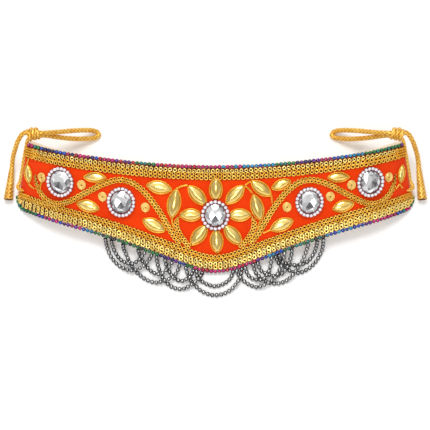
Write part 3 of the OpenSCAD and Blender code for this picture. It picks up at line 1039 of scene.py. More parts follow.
class StringTree:
    """A Geometry Nodes tree that puts a small piece on each point of a guide."""

    def __init__(self) -> None:
        """Builds the tree and its named inputs."""
        self.tree = bpy.data.node_groups.new("strung_pieces", "GeometryNodeTree")
        self.tree.is_modifier = True
        for name, kind in (
            ("Guide", "Geometry"), ("Piece", "Object"), ("Size", "Float"), ("Size Spread", "Float"),
            ("Turn Spread", "Float"), ("Seed", "Int"), ("Finish", "Material"),
        ):
            self.tree.interface.new_socket(name, in_out="INPUT", socket_type=f"NodeSocket{kind}")
        self.tree.interface.new_socket("Geometry", in_out="OUTPUT", socket_type="NodeSocketGeometry")
        self.fill()

    def fill(self) -> None:
        """Adds the nodes and joins them."""
        pen = NodePen(self.tree)
        given = pen.node("NodeGroupInput").outputs
        out, ahead, own = (
            pen.node("GeometryNodeInputNamedAttribute", {"Name": label}, data_type=kind).outputs["Attribute"]
            for label, kind in (("out", "FLOAT_VECTOR"), ("ahead", "FLOAT_VECTOR"), ("share", "FLOAT"))
        )
        axes = {"Primary Axis": out, "Secondary Axis": ahead}
        stance = pen.node("FunctionNodeAxesToRotation", axes, primary_axis="Z", secondary_axis="X")
        spread = given["Turn Spread"]
        less = pen.calculate("MULTIPLY", spread, -1.0)
        ends = {"Min": less, "Max": spread, "Seed": given["Seed"]}
        turns = pen.node("FunctionNodeRandomValue", ends, data_type="FLOAT_VECTOR")
        euler = pen.node("FunctionNodeEulerToRotation", {"Euler": turns.outputs["Value"]})
        both = {"Rotation": stance.outputs["Rotation"], "Rotate By": euler.outputs["Rotation"]}
        turned_by = pen.node("FunctionNodeRotateRotation", both, rotation_space="LOCAL")
        small = pen.calculate("SUBTRACT", 1.0, given["Size Spread"])
        large = pen.calculate("ADD", 1.0, given["Size Spread"])
        sizes = {2: small, 3: large, "Seed": given["Seed"]}
        drawn = pen.node("FunctionNodeRandomValue", sizes, data_type="FLOAT").outputs[1]
        wanted = pen.calculate("MULTIPLY", own, given["Size"])
        piece = pen.node("GeometryNodeObjectInfo", {"Object": given["Piece"]})
        strung = pen.node(
            "GeometryNodeInstanceOnPoints",
            {
                "Points": given["Guide"],
                "Instance": piece.outputs["Geometry"],
                "Rotation": turned_by.outputs["Rotation"],
                "Scale": pen.calculate("MULTIPLY", drawn, wanted),
            },
        )
        real = pen.node("GeometryNodeRealizeInstances", {"Geometry": strung.outputs["Instances"]})
        dress = {"Geometry": real.outputs["Geometry"], "Material": given["Finish"]}
        dressed = pen.node("GeometryNodeSetMaterial", dress)
        pen.node("NodeGroupOutput", {"Geometry": dressed.outputs["Geometry"]})


@dataclass
class Places:
    """Points for strung pieces, with the way each one faces and its dye."""

    points: Array
    out: Array
    ahead: Array
    dyes: Optional[Array] = None
    shares: Optional[Array] = None

    @classmethod
    def on_pattern(cls, s: Array, v: Array, h: float, lean: float = 0.0) -> "Places":
        """Places on the face of the belt.

        Args:
            s: Distances along the belt, in the order of the row.
            v: Heights up the belt.
            h: Height over the cloth.
            lean: Angle by which each piece leans back on the one behind it.

        Returns:
            The places, each facing out of the belt and along its row.
        """
        points = PATTERN.place(s, v, h)
        ahead = headings(points)
        return cls(points, PATTERN.out(s) * math.cos(lean) - ahead * math.sin(lean), ahead)

    @classmethod
    def on_route(cls, route: Array) -> "Places":
        """Places on a route in the frame, facing along it."""
        ahead = headings(route)
        return cls(route, unit_rows(np.cross(np.cross(ahead, [0.0, 0.0, 1.0]), ahead)), ahead)

    @classmethod
    def joined(cls, parts: Sequence["Places"]) -> "Places":
        """All places of several rows."""
        rows = (np.vstack([getattr(p, word) for p in parts]) for word in ("points", "out", "ahead"))
        return cls(*rows, shares=np.concatenate([p.size_shares() for p in parts]))

    def size_shares(self) -> Array:
        """Share of its full size that each piece has."""
        return np.ones(len(self.points)) if self.shares is None else self.shares

    def guide(self, name: str) -> Thing:
        """Makes the loose points that the tree reads.

        Args:
            name: Name of the strung piece.

        Returns:
            The guide.
        """
        mesh = bpy.data.meshes.new(f"{name}_guide")
        mesh.from_pydata(self.points.tolist(), [], [])
        write_layer(mesh, "out", "FLOAT_VECTOR", self.out)
        write_layer(mesh, "ahead", "FLOAT_VECTOR", self.ahead)
        write_layer(mesh, "share", "FLOAT", self.size_shares())
        if self.dyes is not None:
            write_layer(mesh, "dye", "FLOAT_COLOR", self.dyes)
        return link(f"{name}_guide", mesh)


# Small pieces that are strung


def small_piece(name: str, grid: Array, depth: Optional[Array]) -> Thing:
    """Makes a small piece that only its copies show.

    Args:
        name: Name of the piece.
        grid: Points in millimetres; both the rows and the columns close on themselves.
        depth: Relief at each point of the grid.

    Returns:
        The piece, not linked to the scene.
    """
    around, sides = grid.shape[:2]
    faces = []
    for i in range(around):
        for k in range(sides):
            near, far, side = i * sides, (i + 1) % around * sides, (k + 1) % sides
            faces.append([near + k, far + k, far + side, near + side])
    skin = Skin()
    skin.add(grid * MM, faces, depth=depth)
    piece = skin.build(name, [])
    bpy.context.scene.collection.objects.unlink(piece)
    return piece


def small_ring(name: str, radius: float, wire: float, flat: float) -> Thing:
    """Makes a small ring that lies flat at the origin.

    Args:
        name: Name of the ring.
        radius: Radius of the wire's middle line, in millimetres.
        wire: Half width of the wire, in millimetres.
        flat: Height of the wire as a share of its width.

    Returns:
        The ring, not linked to the scene.
    """
    around, sides = 16, 6
    lap = circle(sides)
    grid = oval(circle(around)[:, None], radius + wire * np.cos(lap), 1.0, wire * flat * np.sin(lap))
    # Painted shade: depth is low on the wire's sides and underside, which finishes darken.
    depth = np.broadcast_to(np.clip(0.3 + 0.7 * np.sin(lap), 0.0, 1.0), (around, sides))
    return small_piece(name, grid, depth)


def small_bead(
    name: str,
    diameter: float,
    length: float,
    hole: float,
    around: int = 14,
    steps: int = 7,
    paints_side_shade: bool = False,
) -> Thing:
    """Makes a small round bead with its hole along X.

    Args:
        name: Name of the bead.
        diameter: Its diameter, in millimetres.
        length: Its length along the hole, in millimetres.
        hole: Radius of its hole, in millimetres.
        around: Points round the bead.
        steps: Points on its outer profile.
        paints_side_shade: Writes its depth, which falls from its top down to its sides, so that finishes
            paint shade on its sides.

    Returns:
        The bead, not linked to the scene.
    """
    sweep = np.linspace(-0.5, 0.5, steps) * math.pi
    body = (diameter / 2 - hole) * np.cos(sweep) ** 0.8 + hole
    turn = circle(around)[:, None]
    rows = np.broadcast_arrays(length / 2 * np.sin(sweep), body * np.cos(turn), body * np.sin(turn))
    grid = np.stack(rows, axis=-1)
    # Painted shade: depth falls from the top down the sides; finishes darken the low sides and keep the top
    # light.
    depth = np.clip(grid[..., 2] / diameter * 2.2, 0.0, 1.0) ** 1.6 if paints_side_shade else None
    return small_piece(name, grid, depth)


# Workshop that the sub-assemblies share


class Workshop:
    """What the sub-assemblies share: the frame, the paint and the string tree."""

    def __init__(self, frame: dict) -> None:
        """Keeps the frame and builds the tree.

        Args:
            frame: The loaded frame.
        """
        self.frame = frame
        self.paint = Paint()
        self.strings = StringTree()

    def mount(self, piece: Thing, slot: str, *nodes: str) -> Thing:
        """Sets a piece on the belt in place of CAD nodes.

        Args:
            piece: The piece.
            slot: Name of a record's material slot; not used.
            nodes: CAD nodes that it stands for, if any.

        Returns:
            The piece.
        """
        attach(piece, BODY)
        if nodes:
            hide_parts(*nodes)
        LOG.info("%s: %d faces, stands for %s", piece.name, len(piece.data.polygons), nodes or "itself")
        return piece

    def make(self, skin: Skin, name: str, finishes: Sequence[Enum], slot: str, *nodes: str) -> Thing:
        """Builds a skin in its finishes, mounts it and returns the piece."""
        return self.mount(skin.build(name, [self.paint.get(one) for one in finishes]), slot, *nodes)

    def make_ground(self, skin: Skin, name: str) -> None:
        """Builds the dark sheet of painted shade under a strip, flat shaded, and mounts it.

        Args:
            skin: The sheet's skin.
            name: Name of the piece.
        """
        ground = skin.build(name, [self.paint.get(Gilt.GROUND)], smooth=False)
        merge_points(ground, 0.00001)
        self.mount(ground, "gold_braid")

    def string(
        self, name: str, piece: Thing, places: Places, finish: Enum, jitter: Jitter, slot: str, *nodes: str
    ) -> None:
        """Strings copies of a small piece and mounts them as one piece.

        Args:
            name: Name of the result.
            piece: The small piece, laid flat at the origin.
            places: Where the copies go and how they face.
            finish: Their finish.
            jitter: Their size, and how they differ.
            slot: The record's material slot, passed on to mount, which doesn't use it.
            nodes: CAD nodes that they stand for, if any.
        """
        guide = places.guide(name)
        modifier = guide.modifiers.new("strung", "NODES")
        modifier.node_group = self.strings.tree
        values = {
            "Piece": piece,
            "Size": jitter.size,
            "Size Spread": jitter.size_spread,
            "Turn Spread": jitter.turn_spread,
            "Seed": jitter.seed,
            "Finish": self.paint.get(finish),
        }
        for item in self.strings.tree.interface.items_tree:
            if item.in_out == "INPUT" and item.name in values:
                modifier[item.identifier] = values[item.name]
        graph = bpy.context.evaluated_depsgraph_get()
        mesh = bpy.data.meshes.new_from_object(
            guide.evaluated_get(graph), preserve_all_data_layers=True, depsgraph=graph
        )
        guide.modifiers.remove(modifier)
        bpy.data.objects.remove(guide)
        mesh.name = name
        self.mount(link(name, mesh), slot, *nodes)

    def dress(self, node: str, finish: Enum) -> None:
        """Gives a CAD node that is kept as it is a finish.

        Args:
            node: Name of the node.
            finish: The finish.
        """
        mesh = self.frame["nodes"][node].data
        mesh.materials.clear()
        mesh.materials.append(self.paint.get(finish))
        LOG.info("%s: kept, in %s", node, finish.name.lower())


# Studio


def aim(thing: Thing, place: Vector, way: Vector) -> None:
    """Places a camera or a light and turns it to look a way.

    Args:
        thing: The camera or light.
        place: Where it goes.
        way: Direction in which it looks.
    """
    thing.location = place
    thing.rotation_mode = "QUATERNION"
    thing.rotation_quaternion = way.to_track_quat("-Z", "Y")


@dataclass(frozen=True)
class Studio:
    """The camera, the lights and the surface."""

    elevation: float = math.radians(74.0)
    distance: float = 1.5
    target: Point = (-0.0003, 0.0035, 0.0)
    focal_pixels: float = 1500.0
    image_pixels: float = 430.0
    sensor: float = 36.0
    surface_size: float = 6.0
    room_light: float = 1.1
    room: tuple[tuple[float, float], ...] = (
        (0.0, 0.75), (0.16, 0.8), (0.34, 0.3), (0.7, 0.3), (0.86, 0.7), (1.0, 0.8),
    )
    lights: tuple[tuple[str, Point, tuple[float, float], float], ...] = (
        ("back_light", (-0.15, 0.6, 1.55), (0.8, 0.8), 15.0),
        ("top_light", (-0.25, -0.75, 2.1), (0.5, 0.5), 6.0),
        ("front_light", (-0.1, -1.25, 1.3), (0.9, 0.3), 6.0),
    )

    def place_camera(self) -> None:
        """Places the camera at the photograph's angle."""
        data = bpy.data.cameras.new("photo_camera")
        data.sensor_width = self.sensor
        data.lens = self.sensor * self.focal_pixels / self.image_pixels
        camera = link("photo_camera", data)
        back = Vector((0.0, -math.cos(self.elevation), math.sin(self.elevation)))
        aim(camera, Vector(self.target) + back * self.distance, -back)
        bpy.context.scene.camera = camera

    def place_lights(self) -> None:
        """Hangs oblong lights that look at the belt, in a pale room."""
        for name, place, size, power in self.lights:
            data = bpy.data.lights.new(name, "AREA")
            data.shape = "RECTANGLE"
            data.size, data.size_y = size
            data.energy = power
            aim(link(name, data), Vector(place), -Vector(place))
        scene = bpy.context.scene
        scene.world = self.make_room()
        scene.view_settings.view_transform = "Standard"

    def make_room(self) -> bpy.types.World:
        """Makes the room: pale at its walls and ceiling, and dim between them.

        Returns:
            The room.
        """
        world = bpy.data.worlds.new("room")
        world.use_nodes = True
        pen = NodePen(world.node_tree)
        way = pen.node("ShaderNodeTexCoord").outputs["Generated"]
        parts = pen.node("ShaderNodeSeparateXYZ", {"Vector": way})
        ramp = pen.node("ShaderNodeValToRGB", {"Fac": parts.outputs["Z"]})
        elements = ramp.color_ramp.elements
        while len(elements) < len(self.room):
            elements.new(0.5)
        for element, (place, level) in zip(elements, self.room):
            element.position = place
            element.color = (level, level, level, 1.0)
        background = world.node_tree.nodes["Background"]
        pen.put(background, {"Color": ramp.outputs["Color"], "Strength": self.room_light})
        return world

    def lay_surface(self, paint: Paint) -> None:
        """Lays the pale surface under the belt.

        Args:
            paint: Maker of the materials.
        """
        half = self.surface_size / 2
        skin = Skin()
        corners = [[-half, -half, 0], [half, -half, 0], [half, half, 0], [-half, half, 0]]
        skin.add(np.array(corners), [[0, 1, 2, 3]])
        skin.build("surface", [paint.get(Soft.SURFACE)])


# Cords


class Side(Enum):
    """The two ends of the belt."""

    LEFT = -1
    RIGHT = 1

    @property
    def word(self) -> str:
        """The side's name in the names of pieces."""
        return self.name.lower()

    def turn(self, points: Sequence[Sequence[float]]) -> Array:
        """Points of the right side, mirrored for the left one.

        Args:
            points: Points of the right side.

        Returns:
            One row for each point.
        """
        rows = np.asarray(points, dtype=float).copy()
        rows[:, 0] *= self.value
        return rows


@dataclass(frozen=True)
class TieCords:
    """The loop and the tail that leave the knot at each end, with the cap on the tail."""

    diameter: float = 0.0048
    sides: int = 36
    step: float = 0.00035
    strands: int = 4
    pitch: float = 0.0046
    depth: float = 0.26
    swell: float = 1.06
    path_step: float = 0.002
    hidden: Route = ((0.1765, 0.0745, 0.0437), (0.183, 0.0758, 0.0424))
    loop: Route = (
        (0.1723, 0.0745, 0.0448), (0.17, 0.0747, 0.0445), (0.162, 0.0773, 0.0384),
        (0.153, 0.0809, 0.0305), (0.144, 0.0845, 0.023), (0.135, 0.0877, 0.0155),
        (0.1275, 0.09, 0.009), (0.1223, 0.0907, 0.0048), (0.119, 0.0892, 0.0029),
        (0.1183, 0.087, 0.0026), (0.12, 0.0848, 0.0029), (0.124, 0.083, 0.0046),
        (0.13, 0.0811, 0.0085), (0.138, 0.0791, 0.014), (0.147, 0.0774, 0.0205),
        (0.157, 0.0761, 0.028), (0.165, 0.0752, 0.0346), (0.17, 0.0742, 0.0392),
        (0.1723, 0.074, 0.0396),
    )
    tail: Route = (
        (0.187, 0.0759, 0.0423), (0.1896, 0.0752, 0.0416), (0.1924, 0.0729, 0.0394),
        (0.196, 0.0686, 0.034), (0.1993, 0.064, 0.0255), (0.2018, 0.06, 0.018),
        (0.2031, 0.0566, 0.0128), (0.2038, 0.0536, 0.0096), (0.2041, 0.0508, 0.008),
        (0.2043, 0.0483, 0.0076),
    )
    cap_place: Point = (0.2043, 0.048, 0.0076)
    cap_turn: float = math.radians(5.0)
    cap_drop: float = math.radians(5.0)
    cap_length: float = 0.03
    cap_radii: tuple[float, float] = (0.0028, 0.0049)
    cap_wall: float = 0.0009
    cap_floor: float = 0.003
    cap_strands: int = 6
    cap_pitch: float = 0.004
    cap_depth: float = 0.14

    def build(self, shop: Workshop, side: Side) -> None:
        """Args:
            shop: The workshop.
            side: The end of the belt that it is at.
        """
        cap = self.build_cap(shop, side)
        for word, route, far_end, pieces, start in (
            ("loop", self.loop, "object", [], self.hidden[0]),
            ("tail", self.tail, "fitting", [cap], self.hidden[1]),
        ):
            path = smooth_route(side.turn(route), self.step)
            shown = smooth_route(side.turn([start, *route]), self.step)
            skin = Skin()
            relief = plait(self.strands, self.pitch)
            skin.add_tube(shown, self.diameter / 2 * self.swell, self.sides, relief, self.depth)
            name = f"{word}_cord_{side.word}"
            piece = shop.make(skin, name, (Gilt.CORD,), "gold_cord", f"{word}_{side.word}")
            round(float(travelled(path)[-1]), 3)
            even_route(path, self.path_step).tolist()
            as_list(pieces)

    def build_cap(self, shop: Workshop, side: Side) -> Thing:
        """Builds the woven cap on a tail, open at its wide end.

        Args:
            shop: The workshop.
            side: The end of the belt that it is at.

        Returns:
            The cap.
        """
        narrow, wide = self.cap_radii
        around, outer_rows, inner_rows = 40, 60, 12
        turn = circle(around)
        share = np.linspace(0.0, 1.0, outer_rows)[:, None]
        inner_share = np.linspace(1.0, self.cap_floor / self.cap_length, inner_rows)[:, None]
        relief = plait(self.cap_strands, self.cap_pitch)(turn, share * self.cap_length)
        outer = (narrow + (wide - narrow) * share) * (1 - self.cap_depth * (1 - relief))
        inner = np.repeat(narrow + (wide - narrow) * inner_share - self.cap_wall, around, 1)
        # Painted shade: the inside of the cap gets a low depth, which darkens it.
        depth = np.vstack([relief, np.full((inner_rows, around), 0.2)])
        heights = np.vstack([share, inner_share]) * self.cap_length
        grid = oval(turn, np.vstack([outer, inner]), 1.0, heights)
        lean = (math.pi / 2 + self.cap_drop, "X")
        placed = turned(grid, lean, (side.value * self.cap_turn, "Z")) + side.turn([self.cap_place])[0]
        skin = Skin()
        skin.add_bar(placed, depth=depth)
        return shop.make(skin, f"cap_{side.word}", (Gilt.CAP,), "gold_cord", f"end_cap_{side.word}")


@dataclass(frozen=True)
class EdgeCord:
    """The plaited cord sewn along an end, with its knot of three turns."""

    diameter: float = 4.2
    depth: float = 0.26
    rows: Route = (
        (0, 129, -1.5), (0, 123.5, -1.5), (0, 117, -1.5), (0, 110, -1.5), (0, 103, -1.5),
        (0, 96, -1.5), (0, 89, -1.5), (0, 82.5, -1.2), (0.2, 79.7, 0.7), (1.8, 77.6, 2.2),
        (4.6, 76.4, 2.5), (7.6, 75.9, 2.5), (11, 75.4, 2.5),
    )
    knot_place: Point = (0.1796, 0.0746, 0.0423)
    knot_turns: tuple[tuple[float, float], ...] = ((0.004, 0.0003), (0.0046, 0.0), (0.0041, -0.0011))
    knot_cord: float = 0.005
    knot_step: float = 0.0041
    knot_lean: float = 0.38
    sides: int = 32
    strands: int = 3
    pitch: float = 0.004
    taper: float = 0.005
    knot_sides: int = 28
    knot_strands: int = 4
    knot_pitch: float = 0.0046

    def build(self, shop: Workshop, side: Side) -> None:
        """Builds the cord and the knot of one side as one piece.

        Args:
            shop: The workshop.
            side: The end of the belt that it is at.
        """
        inside, v, h = np.array(self.rows, dtype=float).T
        line = PATTERN.place(side.value * (PATTERN.end_line(v) - inside), v, h)
        skin = Skin()
        route = smooth_route(line, THREAD_STEP)
        relief = plait(self.strands, self.pitch)
        radius = self.diameter / 2 * MM
        skin.add_tube(route, radius, self.sides, relief, self.depth, taper=self.taper)
        self.add_knot(skin, side)
        shop.make(skin, f"edge_braid_{side.word}", (Gilt.CORD,), "gold_cord", f"edge_cord_{side.word}")

    def add_knot(self, skin: Skin, side: Side) -> None:
        """Adds the three turns of the knot, from the outer one to the inner one.

        Args:
            skin: The skin that takes it.
            side: The end of the belt that it is at.
        """
        turn = np.linspace(-0.5, 1.5, 160) * math.pi
        for number, (radius, rise) in enumerate(self.knot_turns):
            inwards = np.full_like(turn, -side.value * (number - 1) * self.knot_step)
            ring = np.stack([inwards, radius * np.cos(turn) + rise, radius * np.sin(turn)], axis=-1)
            route = turned(ring, (-side.value * self.knot_lean, "Z")) + side.turn([self.knot_place])[0]
            even = even_route(route, THREAD_STEP)
            relief = plait(self.knot_strands, self.knot_pitch)
            skin.add_tube(even, self.knot_cord / 2, self.knot_sides, relief, self.depth)


# Cloth


@dataclass(frozen=True)
class FeltFace:
    """The red felt that carries the ornament."""

    thickness: float = 1.3
    columns: int = 161
    rows: int = 33
    unevenness: float = 0.12
    end_tuck: float = 0.5

    def build(self, shop: Workshop) -> None:
        """Args:
            shop: The workshop.
        """
        t = np.sin(np.linspace(-0.5, 0.5, self.columns) * math.pi)
        t = 0.35 * t + 0.65 * np.linspace(-1.0, 1.0, self.columns)
        low_s = t * PATTERN.cloth_low_end
        low_v = PATTERN.cloth_low(low_s)
        inset = PATTERN.cloth_inset
        top_s = t * (PATTERN.cloth_end(PATTERN.below_top(low_s, inset)) + self.end_tuck)
        share = np.linspace(0.0, 1.0, self.rows)[:, None]
        s = low_s + (top_s - low_s) * share
        v = low_v + (PATTERN.below_top(top_s, inset) - low_v) * share
        swell = np.sin(s / 13.0) * np.cos(v / 9.0) + 0.6 * np.sin(s / 5.3 + v / 7.1)
        face = PATTERN.place(s, v, 0.5 * self.unevenness * (swell - 1.6))
        skin = Skin()
        skin.add_slab(PATTERN.place(s, v, -self.thickness), face)
        piece = skin.build("felt_face", [shop.paint.get(Soft.FELT)])
        merge_points(piece, 0.00002)
        shop.mount(piece, "red_cloth", "face_cloth")
        width = float(travelled(face[self.rows // 2])[-1])


@dataclass(frozen=True)
class Backing:
    """The padded cream backing, which stands proud of the beads at its top corners."""

    top: float = -1.75
    bottom: float = -5.35
    top_inset: float = -0.6
    lip: float = 2.8
    lip_start: float = 130.0
    lip_run: float = 55.0
    columns: int = 181
    rows: int = 21
    edge_points: int = 7
    puff_limit: float = 0.00045
    pressure: float = 3.0
    frames: int = 12
    stitch_gap: float = 0.022
    stitch_half: float = 0.0014
    resting: float = 0.0004

    def build(self, shop: Workshop) -> None:
        """Args:
            shop: The workshop.
        """
        low_s = np.linspace(-1.0, 1.0, self.columns) * PATTERN.cloth_low_end
        low_v = PATTERN.cloth_low(low_s)
        top_s = low_s / PATTERN.cloth_low_end
        top_s = top_s * PATTERN.cloth_end(PATTERN.below_top(low_s, self.top_inset))
        lip_share = np.clip((np.abs(top_s) - self.lip_start) / self.lip_run, 0.0, 1.0)
        top_v = PATTERN.below_top(top_s, self.top_inset) + self.lip * lip_share
        middle, half = (self.top + self.bottom) / 2, (self.top - self.bottom) / 2
        shares = np.linspace(0.0, 1.0, self.rows)[1:-1]
        turn = np.linspace(0.0, math.pi, self.edge_points)
        edge = [(0.9 * half * (1 - math.sin(a)), middle - half * math.cos(a)) for a in turn]
        profile = [(0.0, inward, h) for inward, h in edge]
        profile += [(share, 0.0, self.top) for share in shares]
        profile += [(1.0, -inward, h) for inward, h in reversed(edge)]
        profile += [(share, 0.0, self.bottom) for share in shares[::-1]]
        rings = []
        for share, inward, h in profile:
            v = low_v + (top_v - low_v) * share + inward
            rings.append(PATTERN.place(low_s + (top_s - low_s) * share, v, h))
        skin = Skin()
        skin.add_bar(np.stack(rings, axis=1), clockwise=True)
        piece = skin.build("backing", [shop.paint.get(Soft.COTTON)])
        merge_points(piece, 0.00002)
        self.puff(piece)
        shop.mount(piece, "cream_pad", "backing_pad")

    def puff(self, piece: Thing) -> None:
        """Swells the backing between its rows of stitches with a short cloth simulation.

        Args:
            piece: The backing, changed in place.
        """
        rest = self.points_of(piece.data)
        from_stitch = np.abs((rest[:, 0] + 2.0) % self.stitch_gap - self.stitch_gap / 2)
        held = np.flatnonzero((from_stitch < self.stitch_half) | (rest[:, 2] < self.resting))
        piece.vertex_groups.new(name="sewn").add(held.tolist(), 1.0, "REPLACE")
        cloth = piece.modifiers.new("padding", "CLOTH")
        cloth.settings.quality = 5
        cloth.settings.mass = 0.2
        cloth.settings.use_pressure = True
        cloth.settings.uniform_pressure_force = self.pressure
        cloth.settings.vertex_group_mass = "sewn"
        cloth.settings.effector_weights.gravity = 0.0
        cloth.collision_settings.use_collision = False
        scene = bpy.context.scene
        for frame in range(1, self.frames + 1):
            scene.frame_set(frame)
        swollen = piece.evaluated_get(bpy.context.evaluated_depsgraph_get())
        shift = self.points_of(swollen.to_mesh()) - rest
        swollen.to_mesh_clear()
        piece.modifiers.remove(cloth)
        scene.frame_set(1)
        far = np.linalg.norm(shift, axis=1)
        keep = np.minimum(1.0, self.puff_limit / np.maximum(far, 1e-9))
        settled = rest + shift * keep[:, None]
        settled[:, 2] = np.maximum(settled[:, 2], 0.0)
        piece.data.vertices.foreach_set("co", np.ravel(settled).astype(np.float32))
        piece.data.update()
        LOG.info("backing: swelled by up to %.2f mm", float((far * keep).max()) / MM)

    def points_of(self, mesh: bpy.types.Mesh) -> Array:
        """Points of a mesh, one in each row.

        Args:
            mesh: The mesh.

        Returns:
            One row of x, y and z for each point.
        """
        points = np.empty(len(mesh.vertices) * 3, dtype=np.float32)
        mesh.vertices.foreach_get("co", points)
        return points.reshape(-1, 3)


# Borders


class Dye(Enum):
    """Dyes of the glass seed beads."""

    GREEN = (0.0, 0.15, 0.025)
    TEAL = (0.0, 0.16, 0.13)
    CYAN = (0.0, 0.22, 0.42)
    BLUE = (0.0, 0.05, 0.38)
    INDIGO = (0.016, 0.005, 0.1)
    VIOLET = (0.11, 0.004, 0.22)
    MAGENTA = (0.46, 0.0, 0.13)
    CRIMSON = (0.42, 0.001, 0.02)
    INK = (0.012, 0.016, 0.012)


Run = tuple[float, tuple[Dye, ...]]

TOP_RUNS: tuple[Run, ...] = (
    (-186, (Dye.GREEN,)),
    (-179, (Dye.MAGENTA, Dye.VIOLET)),
    (-170, (Dye.GREEN, Dye.TEAL)),
    (-148, (Dye.INDIGO, Dye.BLUE, Dye.CRIMSON)),
    (-110, (Dye.CRIMSON, Dye.BLUE, Dye.MAGENTA, Dye.INDIGO)),
    (-79, (Dye.CRIMSON, Dye.MAGENTA, Dye.VIOLET)),
    (-57, (Dye.GREEN, Dye.TEAL)),
    (-9, (Dye.CRIMSON, Dye.MAGENTA, Dye.MAGENTA)),
    (36, (Dye.MAGENTA, Dye.MAGENTA, Dye.CYAN)),
    (56, (Dye.BLUE, Dye.CYAN)),
    (76, (Dye.GREEN, Dye.TEAL)),
    (102, (Dye.INDIGO, Dye.VIOLET)),
    (112, (Dye.MAGENTA,)),
    (146, (Dye.CYAN, Dye.BLUE)),
    (180, (Dye.TEAL, Dye.GREEN)),
    (187, (Dye.MAGENTA, Dye.VIOLET)),
    (220, (Dye.GREEN,)),
)
BOTTOM_RUNS: tuple[Run, ...] = (
    (-176, (Dye.GREEN, Dye.TEAL)),
    (-127, (Dye.BLUE, Dye.VIOLET, Dye.MAGENTA)),
    (-119, (Dye.CYAN,)),
    (-54, (Dye.GREEN, Dye.GREEN, Dye.INK)),
    (-37, (Dye.INDIGO, Dye.VIOLET)),
    (-28, (Dye.BLUE,)),
    (-21, (Dye.GREEN,)),
    (40, (Dye.CRIMSON, Dye.MAGENTA)),
    (48, (Dye.VIOLET,)),
    (66, (Dye.CYAN, Dye.BLUE)),
    (108, (Dye.GREEN, Dye.TEAL, Dye.INK)),
    (146, (Dye.CYAN, Dye.BLUE)),
    (155, (Dye.VIOLET,)),
    (181, (Dye.MAGENTA,)),
    (188, (Dye.BLUE, Dye.TEAL)),
    (194, (Dye.MAGENTA,)),
    (220, (Dye.GREEN,)),
)


@dataclass(frozen=True)
class BeadStrings:
    """The strings of glass seed beads along both edges."""

    diameter: float = 3.9
    length: float = 3.4
    pitch: float = 4.0
    h: float = 0.1
    seed: int = 11
    top_at: float = 122.0
    hole: float = 0.55
    shades: tuple[float, float] = (0.7, 1.25)
    thread_radius: float = 0.0006
    thread_step: float = 0.003
    top_gap: float = 2.7

    def build(self, shop: Workshop) -> None:
        """Builds both strings.

        Args:
            shop: The workshop.
        """
        bead = small_bead("seed_bead", self.diameter, self.length, self.hole, paints_side_shade=True)
        top_half = float(PATTERN.end_line(self.top_at)) - self.top_gap - self.diameter / 2
        s = np.linspace(-top_half, top_half, 900)
        self.string(shop, bead, "top_bead_string", PATTERN.place(s, PATTERN.top_line(s), self.h), TOP_RUNS)
        low_half = PATTERN.cloth_low_end + self.diameter / 2
        s = low_half * np.sin(np.linspace(-0.5, 0.5, 1400) * math.pi)
        v = PATTERN.low_line(s) + PATTERN.corner_rise(s, PATTERN.cloth_inset)
        self.string(shop, bead, "bottom_bead_string", PATTERN.place(s, v, self.h), BOTTOM_RUNS)

    def string(self, shop: Workshop, bead: Thing, node: str, line: Array, runs: Sequence[Run]) -> None:
        """Strings one line of beads.

        Args:
            shop: The workshop.
            bead: The bead that is repeated.
            node: CAD node that the string stands for.
            line: The string's line in metres.
            runs: Dyes by how far along the belt they reach.
        """
        route = even_route(line, self.pitch * MM)
        places = Places.on_route(route)
        draw = random.Random(self.seed + len(runs))
        dyes = []
        for x in route[:, 0] / MM:
            choice = next(dye for reach, dye in runs if x <= reach)
            shade = draw.uniform(*self.shades)
            dyes.append([*(min(1.0, c * shade) for c in draw.choice(choice).value), 1.0])
        places.dyes = np.array(dyes)
        jitter = Jitter(0.08, 0.22, self.seed, 0.98)
        shop.string(f"{node}_beads", bead, places, Soft.BEAD, jitter, "seed_beads", node)
        thread = Skin()
        thread.add_tube(even_route(line, self.thread_step), self.thread_radius, 6)
        shop.make(thread, f"{node}_thread", (Soft.DARK_THREAD,), "thread")


def add_ground(
    skin: Skin, near: tuple[Array, Array], far: tuple[Array, Array], top: Values, bottom: Values = 0.06
) -> None:
    """Adds a dark sheet of painted shade between two lines on the pattern.

    Args:
        skin: The skin that takes it.
        near: s and v of the points of one line.
        far: s and v of the points of the other line.
        top: Height of its top over the cloth.
        bottom: Height of its underside.
    """
    corners = ((near, top), (far, top), (far, bottom), (near, bottom))
    skin.add_bar(np.stack([PATTERN.place(*line, h) for line, h in corners], axis=1))


@dataclass(frozen=True)
class RingRow:
    """One row of rings along an edge: inset, pitch, and how far it is staggered."""

    inset: float
    pitch: float
    offset: float


